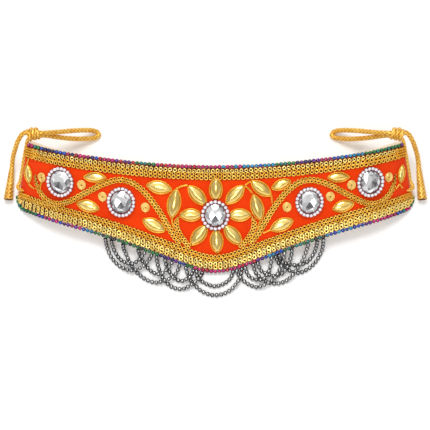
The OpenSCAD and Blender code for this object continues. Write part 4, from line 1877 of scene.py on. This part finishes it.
@dataclass(frozen=True)
class Border:
    """A strip of rings along the top or the bottom edge, on a dark sheet of painted shade that stands for
    the felt in shadow in the rings' holes.
    """

    node: str
    slot: str
    gilt: Gilt
    at_top: bool
    rows: tuple[RingRow, ...]
    ground: tuple[float, float]
    ring_radius: float
    wire: float
    flat: float
    lift: float
    lean: float
    reach: float
    turn_spread: float = 0.12
    unevenness: float = 0.15
    top_gap: float = 2.7
    low_half: float = 206.0
    corner_inset: float = 6.0
    ground_top: float = 0.45

    def line(self, s: Array, inset: float) -> Array:
        """Height of the strip's line at an inset.

        Args:
            s: Distances along the belt.
            inset: How far inside the belt's edge it runs.

        Returns:
            Heights up the belt.
        """
        if self.at_top:
            return PATTERN.below_top(s, inset)
        rise = PATTERN.corner_rise(s, PATTERN.cloth_inset - inset) if inset < self.corner_inset else 0.0
        return PATTERN.above_low(s, inset) + rise

    def reach_at(self, inset: float) -> float:
        """How far from the centre a row at an inset goes."""
        return (PATTERN.end_at(inset) - self.top_gap if self.at_top else self.low_half) - self.reach

    def build(self, shop: Workshop) -> None:
        """Builds the rows of rings and the sheet of painted shade under them.

        Args:
            shop: The workshop.
        """
        ring = small_ring(f"{self.node}_ring", self.ring_radius, self.wire, self.flat)
        draw = np.random.default_rng(len(self.node))
        parts = []
        for row in self.rows:
            half = self.reach_at(row.inset)
            s = np.linspace(-half, half, 1600)
            even = even_route(np.stack([s, self.line(s, row.inset)], axis=-1), row.pitch)
            if row.offset > 0:
                even = even[:-1] + (even[1:] - even[:-1]) * row.offset
            s, v = (even + draw.uniform(-self.unevenness, self.unevenness, even.shape)).T
            parts.append(Places.on_pattern(s, v, self.lift, self.lean))
        jitter = Jitter(0.06, self.turn_spread, 5 + len(self.node))
        rings = f"{self.node}_rings"
        shop.string(rings, ring, Places.joined(parts), self.gilt, jitter, self.slot, self.node)
        t = np.linspace(-1.0, 1.0, 121)
        near, far = (
            (t * self.reach_at(inset), self.line(t * self.reach_at(inset), inset)) for inset in self.ground
        )
        skin = Skin()
        add_ground(skin, near, far, self.ground_top)
        shop.make_ground(skin, f"{self.node}_ground")


BORDERS: tuple[Border, ...] = (
    Border(
        "bottom_sequins", "pale_gold", Gilt.SEQUIN, False,
        (RingRow(4.5, 5.0, 0.0), RingRow(7.7, 5.0, 0.5)), (2.9, 9.8),
        1.72, 0.98, 0.42, 0.95, 0.2, 1.6, 0.22, 0.22,
    ),
    Border(
        "bottom_braid", "gold_braid", Gilt.BRAID, False,
        (RingRow(12.0, 4.0, 0.0), RingRow(15.2, 4.0, 0.5)), (10.4, 16.8),
        1.55, 0.58, 0.9, 0.95, 0.14, 3.4,
    ),
    Border(
        "top_sequins", "pale_gold", Gilt.SEQUIN, True,
        (RingRow(3.9, 4.6, 0.0),), (2.4, 5.5),
        1.5, 0.66, 0.7, 0.95, 0.16, 9.0, 0.2, 0.2,
    ),
    Border(
        "top_braid", "gold_braid", Gilt.BRAID, True,
        (RingRow(7.5, 4.5, 0.5), RingRow(10.9, 4.5, 0.0)), (6.0, 12.9),
        1.62, 0.62, 0.85, 0.95, 0.14, 9.0,
    ),
)


@dataclass(frozen=True)
class EndThreads:
    """Smooth gold threads that carry the strips into the end cord, at the top and the bottom."""

    insets: tuple[float, ...] = (3.5, 6.1, 8.7, 11.3)
    start: float = 12.5
    radius: float = 0.00112
    low_insets: tuple[float, ...] = (16.2, 13.6)
    low_start: float = 188.0
    low_end: float = 203.6
    low_radius: float = 0.00125
    depth: float = 0.2
    pitch: float = 0.003
    low_pitch: float = 0.0022
    low_taper: float = 0.002
    h: float = 0.95
    low_h: float = 1.2
    gap: float = 2.0
    ground_gap: float = 1.6
    ground_top: float = 0.5
    ground: tuple[float, float] = (2.4, 12.9)

    def build(self, shop: Workshop) -> None:
        """Builds the threads of both ends, and the dark sheet of painted shade under the top ones.

        Args:
            shop: The workshop.
        """
        skin, ground = Skin(), Skin()
        for side in Side:
            for inset in self.insets:
                s = self.run(side, inset, self.gap, 24)
                route = even_route(PATTERN.place(s, PATTERN.below_top(s, inset), self.h), THREAD_STEP)
                skin.add_tube(route, self.radius, 12, twist(2, self.pitch), self.depth)
            s = side.value * np.linspace(self.low_start, self.low_end, 24)
            for inset in self.low_insets:
                line = PATTERN.place(s, PATTERN.above_low(s, inset), self.low_h)
                route = even_route(line, THREAD_STEP)
                relief = twist(3, self.low_pitch)
                skin.add_tube(route, self.low_radius, 14, relief, self.depth, taper=self.low_taper)
            runs = [(self.run(side, inset, self.ground_gap, 9), inset) for inset in self.ground]
            high, low = ((s, PATTERN.below_top(s, inset)) for s, inset in runs)
            add_ground(ground, low, high, self.ground_top)
        shop.make(skin, "end_threads", (Gilt.RIM,), "gold_braid")
        shop.make_ground(ground, "end_ground")

    def run(self, side: Side, inset: float, gap: float, count: int) -> Array:
        """Distances along the belt of a run that stops at a gap before the end cord's line."""
        end = PATTERN.end_at(inset) - gap
        return side.value * np.linspace(end - self.start, end, count)


# Ornament on the felt


@dataclass(frozen=True)
class Vines:
    """The vine braid of each side, its flower arc and its stems."""

    row_shift: float = 1.4
    pitch: float = 3.7
    taper: float = 14.0
    arc_shift: float = 1.15
    arc_pitch: float = 3.3
    arc_taper: float = 6.0
    least: float = 0.4
    stem_reach: float = 1.8
    ring: tuple[float, float, float] = (1.36, 0.52, 0.9)
    ring_h: float = 0.9
    ring_lean: float = 0.12
    # Half widths, step and heights of the dark sheet of painted shade under the rings.
    net_half: float = 2.1
    arc_net_half: float = 1.7
    net_step: float = 2.0
    net_top: float = 0.45
    net_bottom: float = 0.06
    stem_h: float = 0.8
    stem_half: float = 0.42
    stem_radius: float = 0.00052
    stem_pitch: float = 0.0018
    stem_step: float = 0.00035
    vine: Route = (
        (179.8, 93, 0), (179.6, 88.5, 0), (178, 83, 0), (175.3, 77.4, 0), (171, 72.8, 0.8),
        (165, 68.8, 1.7), (159, 66.8, 1.7), (152.5, 66.8, 1.7), (146, 68.4, 0.8),
        (139.5, 71.2, 0), (130.5, 76.4, 0), (121.5, 81.2, 0), (111.5, 86.8, 0), (99, 91.3, 0),
        (90.5, 92, 0), (82.5, 90, 0), (75.5, 85.8, 0), (66.5, 77.2, 0), (56.5, 63.8, 0),
        (49, 51, 0), (43.5, 41, 0), (37.3, 32.5, 0), (34.4, 29, 1),
    )
    arc: Route = (
        (35.7, 55.6, 0), (37.6, 52, 0), (38, 46.5, 0), (36.2, 41, 0), (33, 35.2, 0),
        (28.6, 29.4, 0), (25.4, 25.8, 1),
    )
    stems: tuple[tuple[Side, Route], ...] = (
        (Side.LEFT, ((36.1, 85, 0), (32.4, 86.6, 0), (28.8, 87.4, 0))),
        (Side.LEFT, ((42.3, 52.6, 0), (41.9, 49, 0), (40.9, 45.8, 0))),
        (Side.LEFT, ((189.2, 104.4, 0), (188.2, 107.2, 0))),
        (Side.LEFT, ((187, 82, 0), (185, 80.6, 0), (182.8, 79.6, 0))),
        (Side.LEFT, ((173.2, 85, 0), (174, 82.2, 0))),
        (Side.RIGHT, ((30.2, 88.4, 0), (32.8, 90.4, 0))),
        (Side.RIGHT, ((30.4, 85.6, 0), (32.8, 83.6, 0), (34.9, 81, 0))),
        (Side.RIGHT, ((54.9, 75, 0), (55.4, 71.4, 0))),
        (Side.RIGHT, ((52.4, 41.6, 0), (48.6, 39.8, 0))),
        (Side.RIGHT, ((43.2, 49.4, 0), (41.6, 45.4, 0))),
        (Side.RIGHT, ((184.4, 82, 0), (182.2, 79.8, 0))),
        (Side.RIGHT, ((186.5, 82, 0), (188.2, 79.8, 0))),
    )

    def build(self, shop: Workshop) -> None:
        """Builds the vines, arcs and stems of both sides.

        Args:
            shop: The workshop.
        """
        ring = small_ring("vine_ring", *self.ring)
        for side in Side:
            parts = self.rows_of(self.vine, side, self.row_shift, self.pitch, self.taper)
            parts += self.rows_of(self.arc, side, self.arc_shift, self.arc_pitch, self.arc_taper)
            name, node, jitter = f"vine_rings_{side.word}", f"vine_{side.word}", Jitter(0.06, 0.14, 21)
            shop.string(name, ring, Places.joined(parts), Gilt.BRAID, jitter, "gold_braid", node)
            self.build_ground(shop, side)
            self.build_stems(shop, side)

    def growth(self, distance: Values, taper: float) -> Array:
        """Share of its full width that a line has at a distance from its first point."""
        return np.clip(self.least + (1 - self.least) * distance / taper, 0.0, 1.0)

    def rows_of(self, points: Route, side: Side, shift: float, pitch: float, taper: float) -> list[Places]:
        """Two staggered rows of rings on both sides of a line.

        Args:
            points: s, v and lift of the line's points, for the right side.
            side: The side that the line is on.
            shift: Distance of each row from the line.
            pitch: Distance between rings.
            taper: Length from the line's first point over which the rings grow.

        Returns:
            The places of both rows.
        """
        line = smooth_route(side.turn(points), pitch / 2)
        across = sideways(line)
        growth = self.growth(np.arange(len(line)) * pitch / 2, taper)
        rows = []
        for start, way in ((0, 1), (1, -1)):
            picked = slice(start, None, 2)
            s, v = (line[picked, :2] + way * shift * growth[picked, None] * across[picked]).T
            row = Places.on_pattern(s, v, self.ring_h + line[picked, 2], self.ring_lean)
            row.shares = growth[picked]
            rows.append(row)
        return rows

    def build_ground(self, shop: Workshop, side: Side) -> None:
        """Builds the thin dark sheet of painted shade under the rings.

        Args:
            shop: The workshop.
            side: The end of the belt that it is at.
        """
        skin = Skin()
        for points, half, taper in (
            (self.vine, self.net_half, self.taper), (self.arc, self.arc_net_half, self.arc_taper),
        ):
            line = smooth_route(side.turn(points), self.net_step)
            growth = self.growth(np.arange(len(line)) * self.net_step, taper)
            across = sideways(line) * half * growth[:, None]
            near, far = ((line[:, :2] + way * across).T for way in (-1, 1))
            add_ground(skin, near, far, self.net_top + line[:, 2], self.net_bottom + line[:, 2])
        shop.make_ground(skin, f"vine_ground_{side.word}")

    def build_stems(self, shop: Workshop, side: Side) -> None:
        """Builds the stems, each a pair of thin twisted threads.

        Args:
            shop: The workshop.
            side: The end of the belt that it is at.
        """
        skin = Skin()
        for points in (points for stem_side, points in self.stems if stem_side is side):
            knots = side.turn(points)
            for end, other in ((0, 1), (-1, -2)):
                way = knots[end, :2] - knots[other, :2]
                knots[end, :2] += way / np.linalg.norm(way) * self.stem_reach
            line = smooth_route(knots, 0.4)
            for way in (-1, 1):
                s, v = (line[:, :2] + way * sideways(line) * self.stem_half).T
                route = even_route(PATTERN.place(s, v, self.stem_h + line[:, 2]), self.stem_step)
                skin.add_tube(route, self.stem_radius, 8, twist(2, self.stem_pitch), 0.2)
        shop.make(skin, f"stems_{side.word}", (Gilt.RIM,), "gold_braid")


@dataclass(frozen=True)
class Leaf:
    """A padded leaf between two tips; its frames of thread have an inset, a height and a radius."""

    node: str
    start: tuple[float, float]
    end: tuple[float, float]
    width: float
    cut: float = 0.0
    lift: float = 0.0
    blunt: float = 0.4
    rim: float = 1.95
    height: float = 2.5
    base: float = BASE_H
    frames: Route = ((0.58, 0.6, 0.56), (1.42, 0.7, 0.26))
    frame_pitch: float = 0.0021
    frame_depth: float = 0.14
    frame_taper: float = 0.0008
    # Inset and height of the dark line of painted shade.
    seam_inset: float = 0.45
    seam_top: float = 0.45

    @property
    def length(self) -> float:
        """Length from tip to tip."""
        return math.dist(self.start, self.end)

    def half_width(self, x: Array) -> Array:
        """Half width at a distance x from the first tip.

        Args:
            x: Distances from the first tip.

        Returns:
            Half widths in millimetres.
        """
        arc = (self.length**2 / 4 + self.width**2 / 4) / self.width
        reach = np.asarray(x, dtype=float) - self.length / 2
        return np.maximum(0.0, np.sqrt(arc * arc - reach * reach) - arc + self.width / 2)

    def place(self, x: Array, across: Array, h: Array) -> Array:
        """Points of the frame from a distance along the leaf, one across it and a height.

        Args:
            x: Distances along the leaf, from its first tip.
            across: Distances to the left of its middle line.
            h: Heights over its base.

        Returns:
            One row of x, y and z in metres for each place.
        """
        ahead = (np.array(self.end) - np.array(self.start)) / self.length
        s = self.start[0] + x * ahead[0] - across * ahead[1]
        v = self.start[1] + x * ahead[1] + across * ahead[0]
        return PATTERN.place(s, v, self.base + h + self.lift * x / self.length)

    def build(self, shop: Workshop) -> None:
        """Builds the dome and its frame as one piece.

        Args:
            shop: The workshop.
        """
        skin = Skin()
        self.add_dome(skin)
        self.add_seam(skin)
        for inset, h, radius in self.frames:
            self.add_frame(skin, inset, h, radius)
        shop.make(skin, f"{self.node}_gilt", (Gilt.LEAF, Gilt.RIM, Gilt.SEAM), "leaf_gold", self.node)

    def add_seam(self, skin: Skin) -> None:
        """Adds the dark line of painted shade between the threads and the dome.

        Args:
            skin: The skin that takes it.
        """
        first = self.cut + 0.2 if self.cut else self.blunt + 0.6
        x = np.linspace(first, self.length - self.blunt - 0.6, 31)
        half = np.maximum(self.half_width(x) - self.seam_inset, 0.06)
        corners = ((-1, self.seam_top), (-1, 0.0), (1, 0.0), (1, self.seam_top))
        rings = [self.place(x, across * half, np.full_like(x, h)) for across, h in corners]
        skin.add_bar(np.stack(rings, axis=1), 2)

    def add_dome(self, skin: Skin) -> None:
        """Adds the domed foil, with a soft ridge from tip to tip.

        Args:
            skin: The skin that takes it.
        """
        first = max(self.cut, self.blunt) + (0.4 if self.cut else 1.6)
        share = (1 - np.cos(np.linspace(0.0, math.pi, 31))) / 2
        x = first + share * (self.length - self.blunt - 1.6 - first)
        half = np.maximum(self.half_width(x) - self.rim, 0.05)
        u = np.sin(np.linspace(-0.5, 0.5, 17) * math.pi)
        crest = np.sqrt(u * u + 0.012) - math.sqrt(0.012)
        swell = 0.6 * (1 - crest / crest.max()) + 0.4 * np.sqrt(1 - u * u)
        top = self.height * (half / (self.width / 2 - self.rim)) ** 0.6
        h = 0.5 + (top[:, None] - 0.5) * swell
        x, across = x[:, None], half[:, None] * u
        skin.add_slab(self.place(x, across, np.maximum(h, 0.5)), self.place(x, across, np.zeros_like(h)))

    def add_frame(self, skin: Skin, inset: float, h: float, radius: float) -> None:
        """Adds one pair of twisted threads round the leaf.

        Args:
            skin: The skin that takes them.
            inset: How far inside the leaf's outline they run.
            h: Height of their middle line over the leaf's base.
            radius: Their radius.
        """
        first = self.cut if self.cut else inset * 0.8
        x = np.linspace(first, self.length - inset * 0.8, 120)
        half = np.maximum(self.half_width(x) - inset, 0.12)
        for way in (-1, 1):
            route = even_route(self.place(x, way * half, np.full_like(x, h)), THREAD_STEP)
            relief = twist(2, self.frame_pitch)
            skin.add_tube(route, radius * MM, 8, relief, self.frame_depth, 1, self.frame_taper)


@dataclass(frozen=True)
class Garden:
    """All the petals and leaves on the felt."""

    centre: tuple[float, float] = (0.0, 57.7)
    petal_width: float = 13.8
    petal_cut: float = 14.4
    tall: float = 1.09
    petals: tuple[tuple[float, float, float, float], ...] = (
        (0, 35.5, 23.4, 0), (46.6, 41, 26.2, 0), (88.8, 38.6, 25.6, 2), (131.8, 39.8, 27, 0),
        (180, 35.6, 23.4, 0), (231.8, 39.3, 27, 0), (272.8, 39.3, 25.6, 0), (310.4, 40.2, 27.2, 0),
    )
    left: tuple[tuple[float, float, float, float, float], ...] = (
        (-189.8, 103, -188.3, 83.4, 11.2),
        (-129.6, 94.1, -105.7, 94.1, 11),
        (-136.6, 67.8, -113.3, 62.4, 13.2),
        (-67.6, 87.7, -41.6, 82.8, 14.2),
        (-71.6, 53, -48.6, 41, 14),
        (-37.5, 84.8, -43, 53.6, 14.2),
    )
    right: tuple[tuple[float, float, float, float, float], ...] = (
        (188.8, 103, 186.9, 83.6, 10),
        (108.6, 94.2, 132.2, 94.2, 11),
        (114.4, 62.3, 137, 67.9, 12.8),
        (54.2, 83.6, 74, 92, 11.2),
        (53.4, 42.2, 76.8, 52.4, 14),
        (36.8, 79.2, 44.9, 51, 13.4),
        (34.2, 92, 55, 76.4, 13),
    )

    def build(self, shop: Workshop) -> None:
        """Builds every petal and leaf.

        Args:
            shop: The workshop.
        """
        for number, (degrees, reach, length, lift) in enumerate(self.petals, 1):
            way = (math.cos(math.radians(degrees)), math.sin(math.radians(degrees)))
            tip = tuple(c + reach * w for c, w in zip(self.centre, way))
            start = tuple(t - length * w for t, w in zip(tip, way))
            rim = self.tall * self.petal_cut / math.hypot(self.tall * way[0], way[1])
            cut = max(0.1, rim - (reach - length))
            Leaf(f"petal_{number}", start, tip, self.petal_width, cut, lift).build(shop)
        for word, rows in (("left", self.left), ("right", self.right)):
            for number, (s1, v1, s2, v2, width) in enumerate(rows, 1):
                Leaf(f"leaf_{word}_{number}", (s1, v1), (s2, v2), width).build(shop)


@dataclass(frozen=True)
class Seat:
    """A round place on the face of the belt, with its own flat axes."""

    s: float
    v: float

    def place(self, local: Array, h: float) -> Array:
        """Turns points over the seat, in millimetres, into points of the frame."""
        return PATTERN.place(self.s, self.v, h) + (np.asarray(local) * MM) @ PATTERN.axes(self.s)


@dataclass(frozen=True)
class Stones:
    """The five cut stones, each in its ring of pearls."""

    stones: tuple[tuple[float, float, int], ...] = (
        (-152, 88.5, 22), (-92, 70, 22), (0, 57.7, 20), (92, 70, 22), (152, 88.5, 22),
    )
    # Directions of each stone's painted dark wedge, in degrees.
    dark_ways: tuple[float, ...] = (262.0, 268.0, 270.0, 278.0, 340.0)
    radius: float = 10.25
    tall: float = 1.09
    height: float = 4.9
    table: float = 0.56
    pearl: float = 3.55
    ring: float = 12.4
    stitch: float = 1.5
    stitch_ring: float = 10.95
    stitch_h: float = 1.5
    hole: float = 0.45
    seed: int = 4

    def build(self, shop: Workshop) -> None:
        """Builds the stones and the pearls.

        Args:
            shop: The workshop.
        """
        draw = random.Random(self.seed)
        pearl = small_bead("pearl_bead", self.pearl, self.pearl, self.hole, 16, 9, paints_side_shade=True)
        stitch = small_bead("stitch_knot", self.stitch, self.stitch, 0.1, 8, 5)
        for number, (s, v, count) in enumerate(self.stones, 1):
            seat = Seat(s, v)
            self.build_stone(shop, seat, number, draw)
            places = self.ring_places(seat, count, 0.0, self.ring, BASE_H + self.pearl / 2)
            name, node, jitter = f"pearls_{number}", f"pearl_ring_{number}", Jitter(0.02, 0.3, 30 + number)
            shop.string(name, pearl, places, Soft.PEARL, jitter, "pearl", node)
            places = self.ring_places(seat, count, 0.5, self.stitch_ring, self.stitch_h)
            name, jitter = f"stitches_{number}", Jitter(0.2, 0.5, 70 + number)
            shop.string(name, stitch, places, Soft.STITCH, jitter, "thread")

    def ring_places(self, seat: Seat, count: int, shift: float, radius: float, h: float) -> Places:
        """Even places on an oval round a stone.

        Args:
            seat: Where the stone sits.
            count: How many places there are.
            shift: Share of a step by which the first one is turned.
            radius: Half width of the oval, in millimetres.
            h: Height over the cloth.

        Returns:
            The places, each facing out of the belt and along the oval.
        """
        turn = circle(count, shift)
        heading = unit_rows(oval(turn + math.pi / 2, 1.0, self.tall, 0.0)) @ PATTERN.axes(seat.s)
        facing = np.repeat(PATTERN.out(seat.s)[None, :], count, 0)
        return Places(seat.place(oval(turn, radius, self.tall, 0.0), h), facing, heading)

    def build_stone(self, shop: Workshop, seat: Seat, number: int, draw: random.Random) -> None:
        """Builds one cut stone.

        Args:
            shop: The workshop.
            seat: Where the stone sits.
            number: Its number, from the left.
            draw: Source of the facets' painted reflection tones.
        """
        base, low, high, crown, table = (
            oval(circle(count, shift), radius, self.tall, z)
            for radius, z, shift, count in (
                (self.radius - 0.8, 0.0, 0.0, 16),
                (self.radius, 1.0, 0.0, 16),
                (self.radius, 1.6, 0.0, 16),
                (self.radius * 0.78, self.height * 0.7, 0.5, 8),
                (self.radius * self.table, self.height * 0.97, 0.0, 8),
            )
        )
        middle = np.array([self.radius * 0.02, self.radius * 0.12, self.height * 0.9])
        facets: list[list[Array]] = [list(base[::-1])]
        for k in range(16):
            after = (k + 1) % 16
            facets.append([base[k], base[after], low[after], low[k]])
            facets.append([low[k], low[after], high[after], high[k]])
        for k in range(8):
            after, back = (k + 1) % 8, (k - 1) % 8
            facets.append([high[2 * k], high[2 * k + 1], crown[k]])
            facets.append([high[2 * k + 1], high[(2 * k + 2) % 16], crown[k]])
            facets.append([high[2 * k], crown[k], crown[back]])
            facets.append([crown[k], table[k], crown[back]])
            facets.append([crown[k], table[after], table[k]])
            facets.append([table[k], table[after], middle])
        skin = Skin()
        for facet in facets:
            # Painted reflection: each facet's tone, written as its tint.
            tone = self.tone(np.mean(facet, axis=0), self.dark_ways[number - 1], draw)
            skin.add(seat.place(np.array(facet), BASE_H), [list(range(len(facet)))], tint=tone)
        piece = skin.build(f"stone_{number}", [shop.paint.get(Soft.STONE)], smooth=False)
        shop.mount(piece, "crystal", f"crystal_{number}")

    def tone(self, middle: Array, painted_wedge_way: float, draw: random.Random) -> float:
        """Painted reflection of a facet: white above, with one dark wedge below.

        Args:
            middle: The facet's middle over the seat.
            painted_wedge_way: Direction of the painted dark wedge, in degrees.
            draw: Source of the small facets' tones.

        Returns:
            A share from 0 to 1.
        """
        way = math.degrees(math.atan2(middle[1], middle[0]))
        off = abs((way - painted_wedge_way + 180.0) % 360.0 - 180.0)
        share = math.hypot(middle[0], middle[1]) / self.radius
        if share < 0.62:
            return 0.05 if off < 32.0 else 0.3 if off < 68.0 else 0.72 if off < 104.0 else 1.0
        if share < 0.86:
            return draw.choice((0.15, 0.4, 0.7)) if 20.0 < off < 120.0 else draw.choice((0.55, 0.9, 1.0))
        return draw.choice((0.12, 0.35, 0.8, 1.0))


@dataclass(frozen=True)
class Discs:
    """The small discs of coiled gold wire, each tied down by a thread."""

    left: tuple[tuple[float, float], ...] = ((172.1, 91.3), (131, 86.2), (110.4, 74.8), (68.4, 64.8))
    right: tuple[tuple[float, float], ...] = ((172.1, 91.6), (133.4, 86), (112.5, 75), (70.1, 65.2))
    diameter: float = 9.2
    tall: float = 1.13
    wire: float = 0.34
    turns: float = 5.5
    hole: float = 0.5
    plate: float = 0.55
    eye_rise: float = 0.35
    coil_step: float = 0.0005
    coil_taper: float = 0.0006
    tie_radius: float = 0.00028
    tie: Route = ((0.0, 0.4, 0.7), (0.05, -0.4, 0.5), (0.1, -1.3, 0.3))

    def build(self, shop: Workshop) -> None:
        """Builds the discs of both sides.

        Args:
            shop: The workshop.
        """
        for side, places in ((Side.LEFT, self.left), (Side.RIGHT, self.right)):
            skin = Skin()
            for s, v in places:
                self.add_disc(skin, Seat(side.value * s, v))
            name, node = f"wire_discs_{side.word}", f"discs_{side.word}"
            shop.make(skin, name, (Gilt.DISC, Gilt.GROUND, Gilt.RIM), "pale_gold", node)

    def add_disc(self, skin: Skin, seat: Seat) -> None:
        """Adds the plate, the coil of wire, the eye and the tie of one disc; the plate is partly painted in
        shade and the eye is painted shade.

        Args:
            skin: The skin that takes it.
            seat: Where its middle is.
        """
        outer = self.diameter / 2 - self.wire
        self.add_plate(skin, seat, outer, self.plate, 0)
        # The eye is a raised plate in the dark finish of painted shade in the coil's hole.
        self.add_plate(skin, seat, self.hole, self.plate + self.eye_rise, 1)
        turn = np.linspace(0.0, self.turns * math.tau, 420)
        reach = self.hole + self.wire + (outer - self.hole - self.wire) * turn / turn[-1]
        coil = oval(turn, reach, self.tall, self.plate + self.wire * 0.6)
        route = even_route(seat.place(coil, BASE_H), self.coil_step)
        skin.add_tube(route, self.wire * MM, 6, taper=self.coil_taper)
        tie = np.array(self.tie) - [0.0, outer * self.tall, 0.0]
        skin.add_tube(even_route(seat.place(tie, BASE_H), THREAD_STEP), self.tie_radius, 6, slot=2)

    def add_plate(self, skin: Skin, seat: Seat, radius: float, height: float, slot: int) -> None:
        """Adds a low oval plate with a rounded edge.

        Args:
            skin: The skin that takes it.
            seat: Where its middle is.
            radius: Its half width, in millimetres.
            height: Its height.
            slot: Which of the piece's finishes it takes.
        """
        around = 32
        profile = np.array([(1.0, 0.0), (1.0, 0.6), (0.93, 0.9), (0.75, 1.0), (0.04, 1.0)])
        reach, rise = profile.T[:, :, None]
        grid = seat.place(oval(circle(around), reach * radius, self.tall, rise * height), BASE_H)
        # Painted shade: the plates' low depth darkens them under the coil.
        skin.add_bar(grid, slot, np.full((len(profile), around), 0.4))


# Ball chains

SwagRow = tuple[float, float, Route]


@dataclass(frozen=True)
class Swags:
    """The seven double swags of ball chain on the bottom edge."""

    ball: float = 4.0
    pitch: float = 4.35
    link: float = 0.45
    chain: float = 3.2
    bead: float = 3.4
    rise: float = 0.35
    hang_h: float = -0.6
    hang_gap: float = 0.3
    hole: float = 0.35
    link_step: float = 0.0015
    swags: tuple[tuple[SwagRow, SwagRow], ...] = ()

    def hang_point(self, s: float) -> Array:
        """Where a chain hangs from the bottom bead line, in metres."""
        inset = -(self.bead + self.chain) / 2 - self.hang_gap
        return PATTERN.place(s, PATTERN.above_low(s, inset), self.hang_h)

    def build(self, shop: Workshop) -> None:
        """Builds every swag as balls on a link of wire.

        Args:
            shop: The workshop.
        """
        ball = small_bead("chain_ball", self.ball, self.ball, self.hole, 16, 9, paints_side_shade=True)
        for number, swag in enumerate(self.swags, 1):
            wires = Skin()
            parts = []
            for first, last, points in swag:
                knots = np.vstack([self.hang_point(first), np.array(points) * MM, self.hang_point(last)])
                knots[:, 2] += self.rise * MM
                parts.append(Places.on_route(smooth_route(knots, self.pitch * MM)))
                wires.add_tube(smooth_route(knots, self.link_step), self.link * MM, 6)
            name, node, jitter = f"swag_balls_{number}", f"swag_{number}", Jitter(0.02, 0.0, 60 + number)
            shop.string(name, ball, Places.joined(parts), Gilt.CHAIN, jitter, "ball_chain", node)
            shop.make(wires, f"swag_link_{number}", (Gilt.CHAIN,), "ball_chain")


SWAGS: tuple[tuple[SwagRow, SwagRow], ...] = (
    (
        (-108.5, -63, (
            (-108, -28, 7.8), (-106.5, -33, 2.4), (-103, -40.5, 1.7), (-95.5, -49, 1.7),
            (-85, -54.5, 4.3), (-78, -54, 5.4), (-71, -50.5, 5.1), (-65.5, -44.5, 6.3),
        )),
        (-102.5, -70, (
            (-102, -30, 7.3), (-99.5, -35, 2.4), (-94, -43, 2.6), (-85, -48, 5.1),
            (-78.5, -46.5, 5.1), (-73, -42.5, 8.4),
        )),
    ),
    (
        (-91, -35.5, (
            (-90.5, -33.5, 6.8), (-88, -38.5, 2), (-83.5, -48, 1.7), (-76.5, -57, 1.7),
            (-67, -64, 1.7), (-58, -66.5, 2.4), (-50.5, -65, 5.1), (-41.5, -61.5, 5.1),
            (-37, -54.5, 5.1),
        )),
        (-76, -43, (
            (-74.5, -39.5, 5.4), (-72.5, -44, 2.2), (-66.5, -52, 1.7), (-58.5, -58, 4),
            (-52, -57.5, 5.1), (-46.5, -52.5, 5.8),
        )),
    ),
    (
        (-58, -13, (
            (-57, -48, 3.6), (-54.5, -55.5, 1.7), (-50.5, -64, 1.7), (-43, -70.5, 1.7),
            (-34.5, -73, 1.7), (-26.5, -71, 4.2), (-19.5, -66, 5.1), (-15.3, -61.8, 5.5),
        )),
        (-49.5, -21.7, (
            (-48, -50, 3.2), (-45.5, -55, 1.7), (-41, -61.5, 1.7), (-33.5, -65, 2.6),
            (-26.5, -62.5, 5.1), (-24, -60.3, 5.4),
        )),
    ),
    (
        (-29, 26, (
            (-27.5, -57, 2.2), (-24, -64.5, 1.7), (-15.5, -73.5, 1.7), (-7, -78, 1.7),
            (0.5, -79, 1.7), (8.5, -77.5, 1.7), (15.5, -73.5, 2.4), (21.5, -67, 5.1),
            (24.8, -61.5, 5.5),
        )),
        (-18.6, 17.5, (
            (-17, -62, 1.7), (-9, -67.5, 1.7), (-1, -70, 1.7), (7.5, -68, 1.7), (14.5, -62.5, 1.7)
        )),
    ),
    (
        (21.3, 68.2, (
            (24.3, -61, 1.7), (31, -67, 1.7), (40, -71, 2), (46.5, -70, 4.4),
            (54, -66, 5.1), (59.5, -61.5, 5.1), (63.5, -54, 5.1), (66.6, -46.5, 7.3),
            (67.8, -42, 9.8),
        )),
        (29.5, 55.5, (
            (32, -58, 1.8), (36, -62, 1.7), (41.5, -64, 3.2), (47, -63.5, 5.1),
            (51, -59, 5.1), (54, -52, 5.4),
        )),
    ),
    (
        (37.5, 91.5, (
            (40, -56.5, 2), (46, -62.5, 1.7), (52.5, -66, 1.7), (60, -67.5, 1.7),
            (68, -65.5, 1.7), (74, -61.5, 4), (79, -55.5, 5.1), (84.5, -47.5, 5.1),
            (89, -38, 7.3),
        )),
        (42, 75.5, (
            (45, -54, 2), (51, -57.5, 1.7), (58, -59.5, 1.7), (64, -58.5, 2),
            (69.5, -54, 5.1), (72.5, -48, 5.1), (75, -40.5, 7.3),
        )),
    ),
    (
        (59.5, 106.5, (
            (62, -46, 3), (66.5, -49.5, 1.7), (73, -54, 1.7), (82.5, -56.5, 1.7),
            (91.5, -52.5, 1.7), (99.5, -45, 1.7), (105, -35.5, 3), (106.5, -29.5, 8.3),
        )),
        (63, 100.5, (
            (65.4, -44, 3.2), (70, -47, 1.7), (77, -48.5, 1.7), (85, -48, 1.7),
            (92.5, -44, 1.7), (98, -36, 2.6), (100, -31, 7.8),
        )),
    ),
)


def main() -> None:
    """Builds the belt on its frame, from the camera to the last chain."""
    logging.basicConfig(level=logging.INFO, format="%(name)s: %(message)s")
    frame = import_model()
    shop = Workshop(frame)
    studio = Studio()
    studio.place_camera()
    for side in Side:
        TieCords().build(shop, side)
        EdgeCord().build(shop, side)
    Backing().build(shop)
    FeltFace().build(shop)
    BeadStrings().build(shop)
    for border in BORDERS:
        border.build(shop)
    shop.dress("pearl_threads", Soft.THREAD)
    EndThreads().build(shop)
    Vines().build(shop)
    Garden().build(shop)
    Stones().build(shop)
    Discs().build(shop)
    Swags(swags=SWAGS).build(shop)
    studio.place_lights()
    studio.lay_surface(shop.paint)


if __name__ == "__main__":
    main()
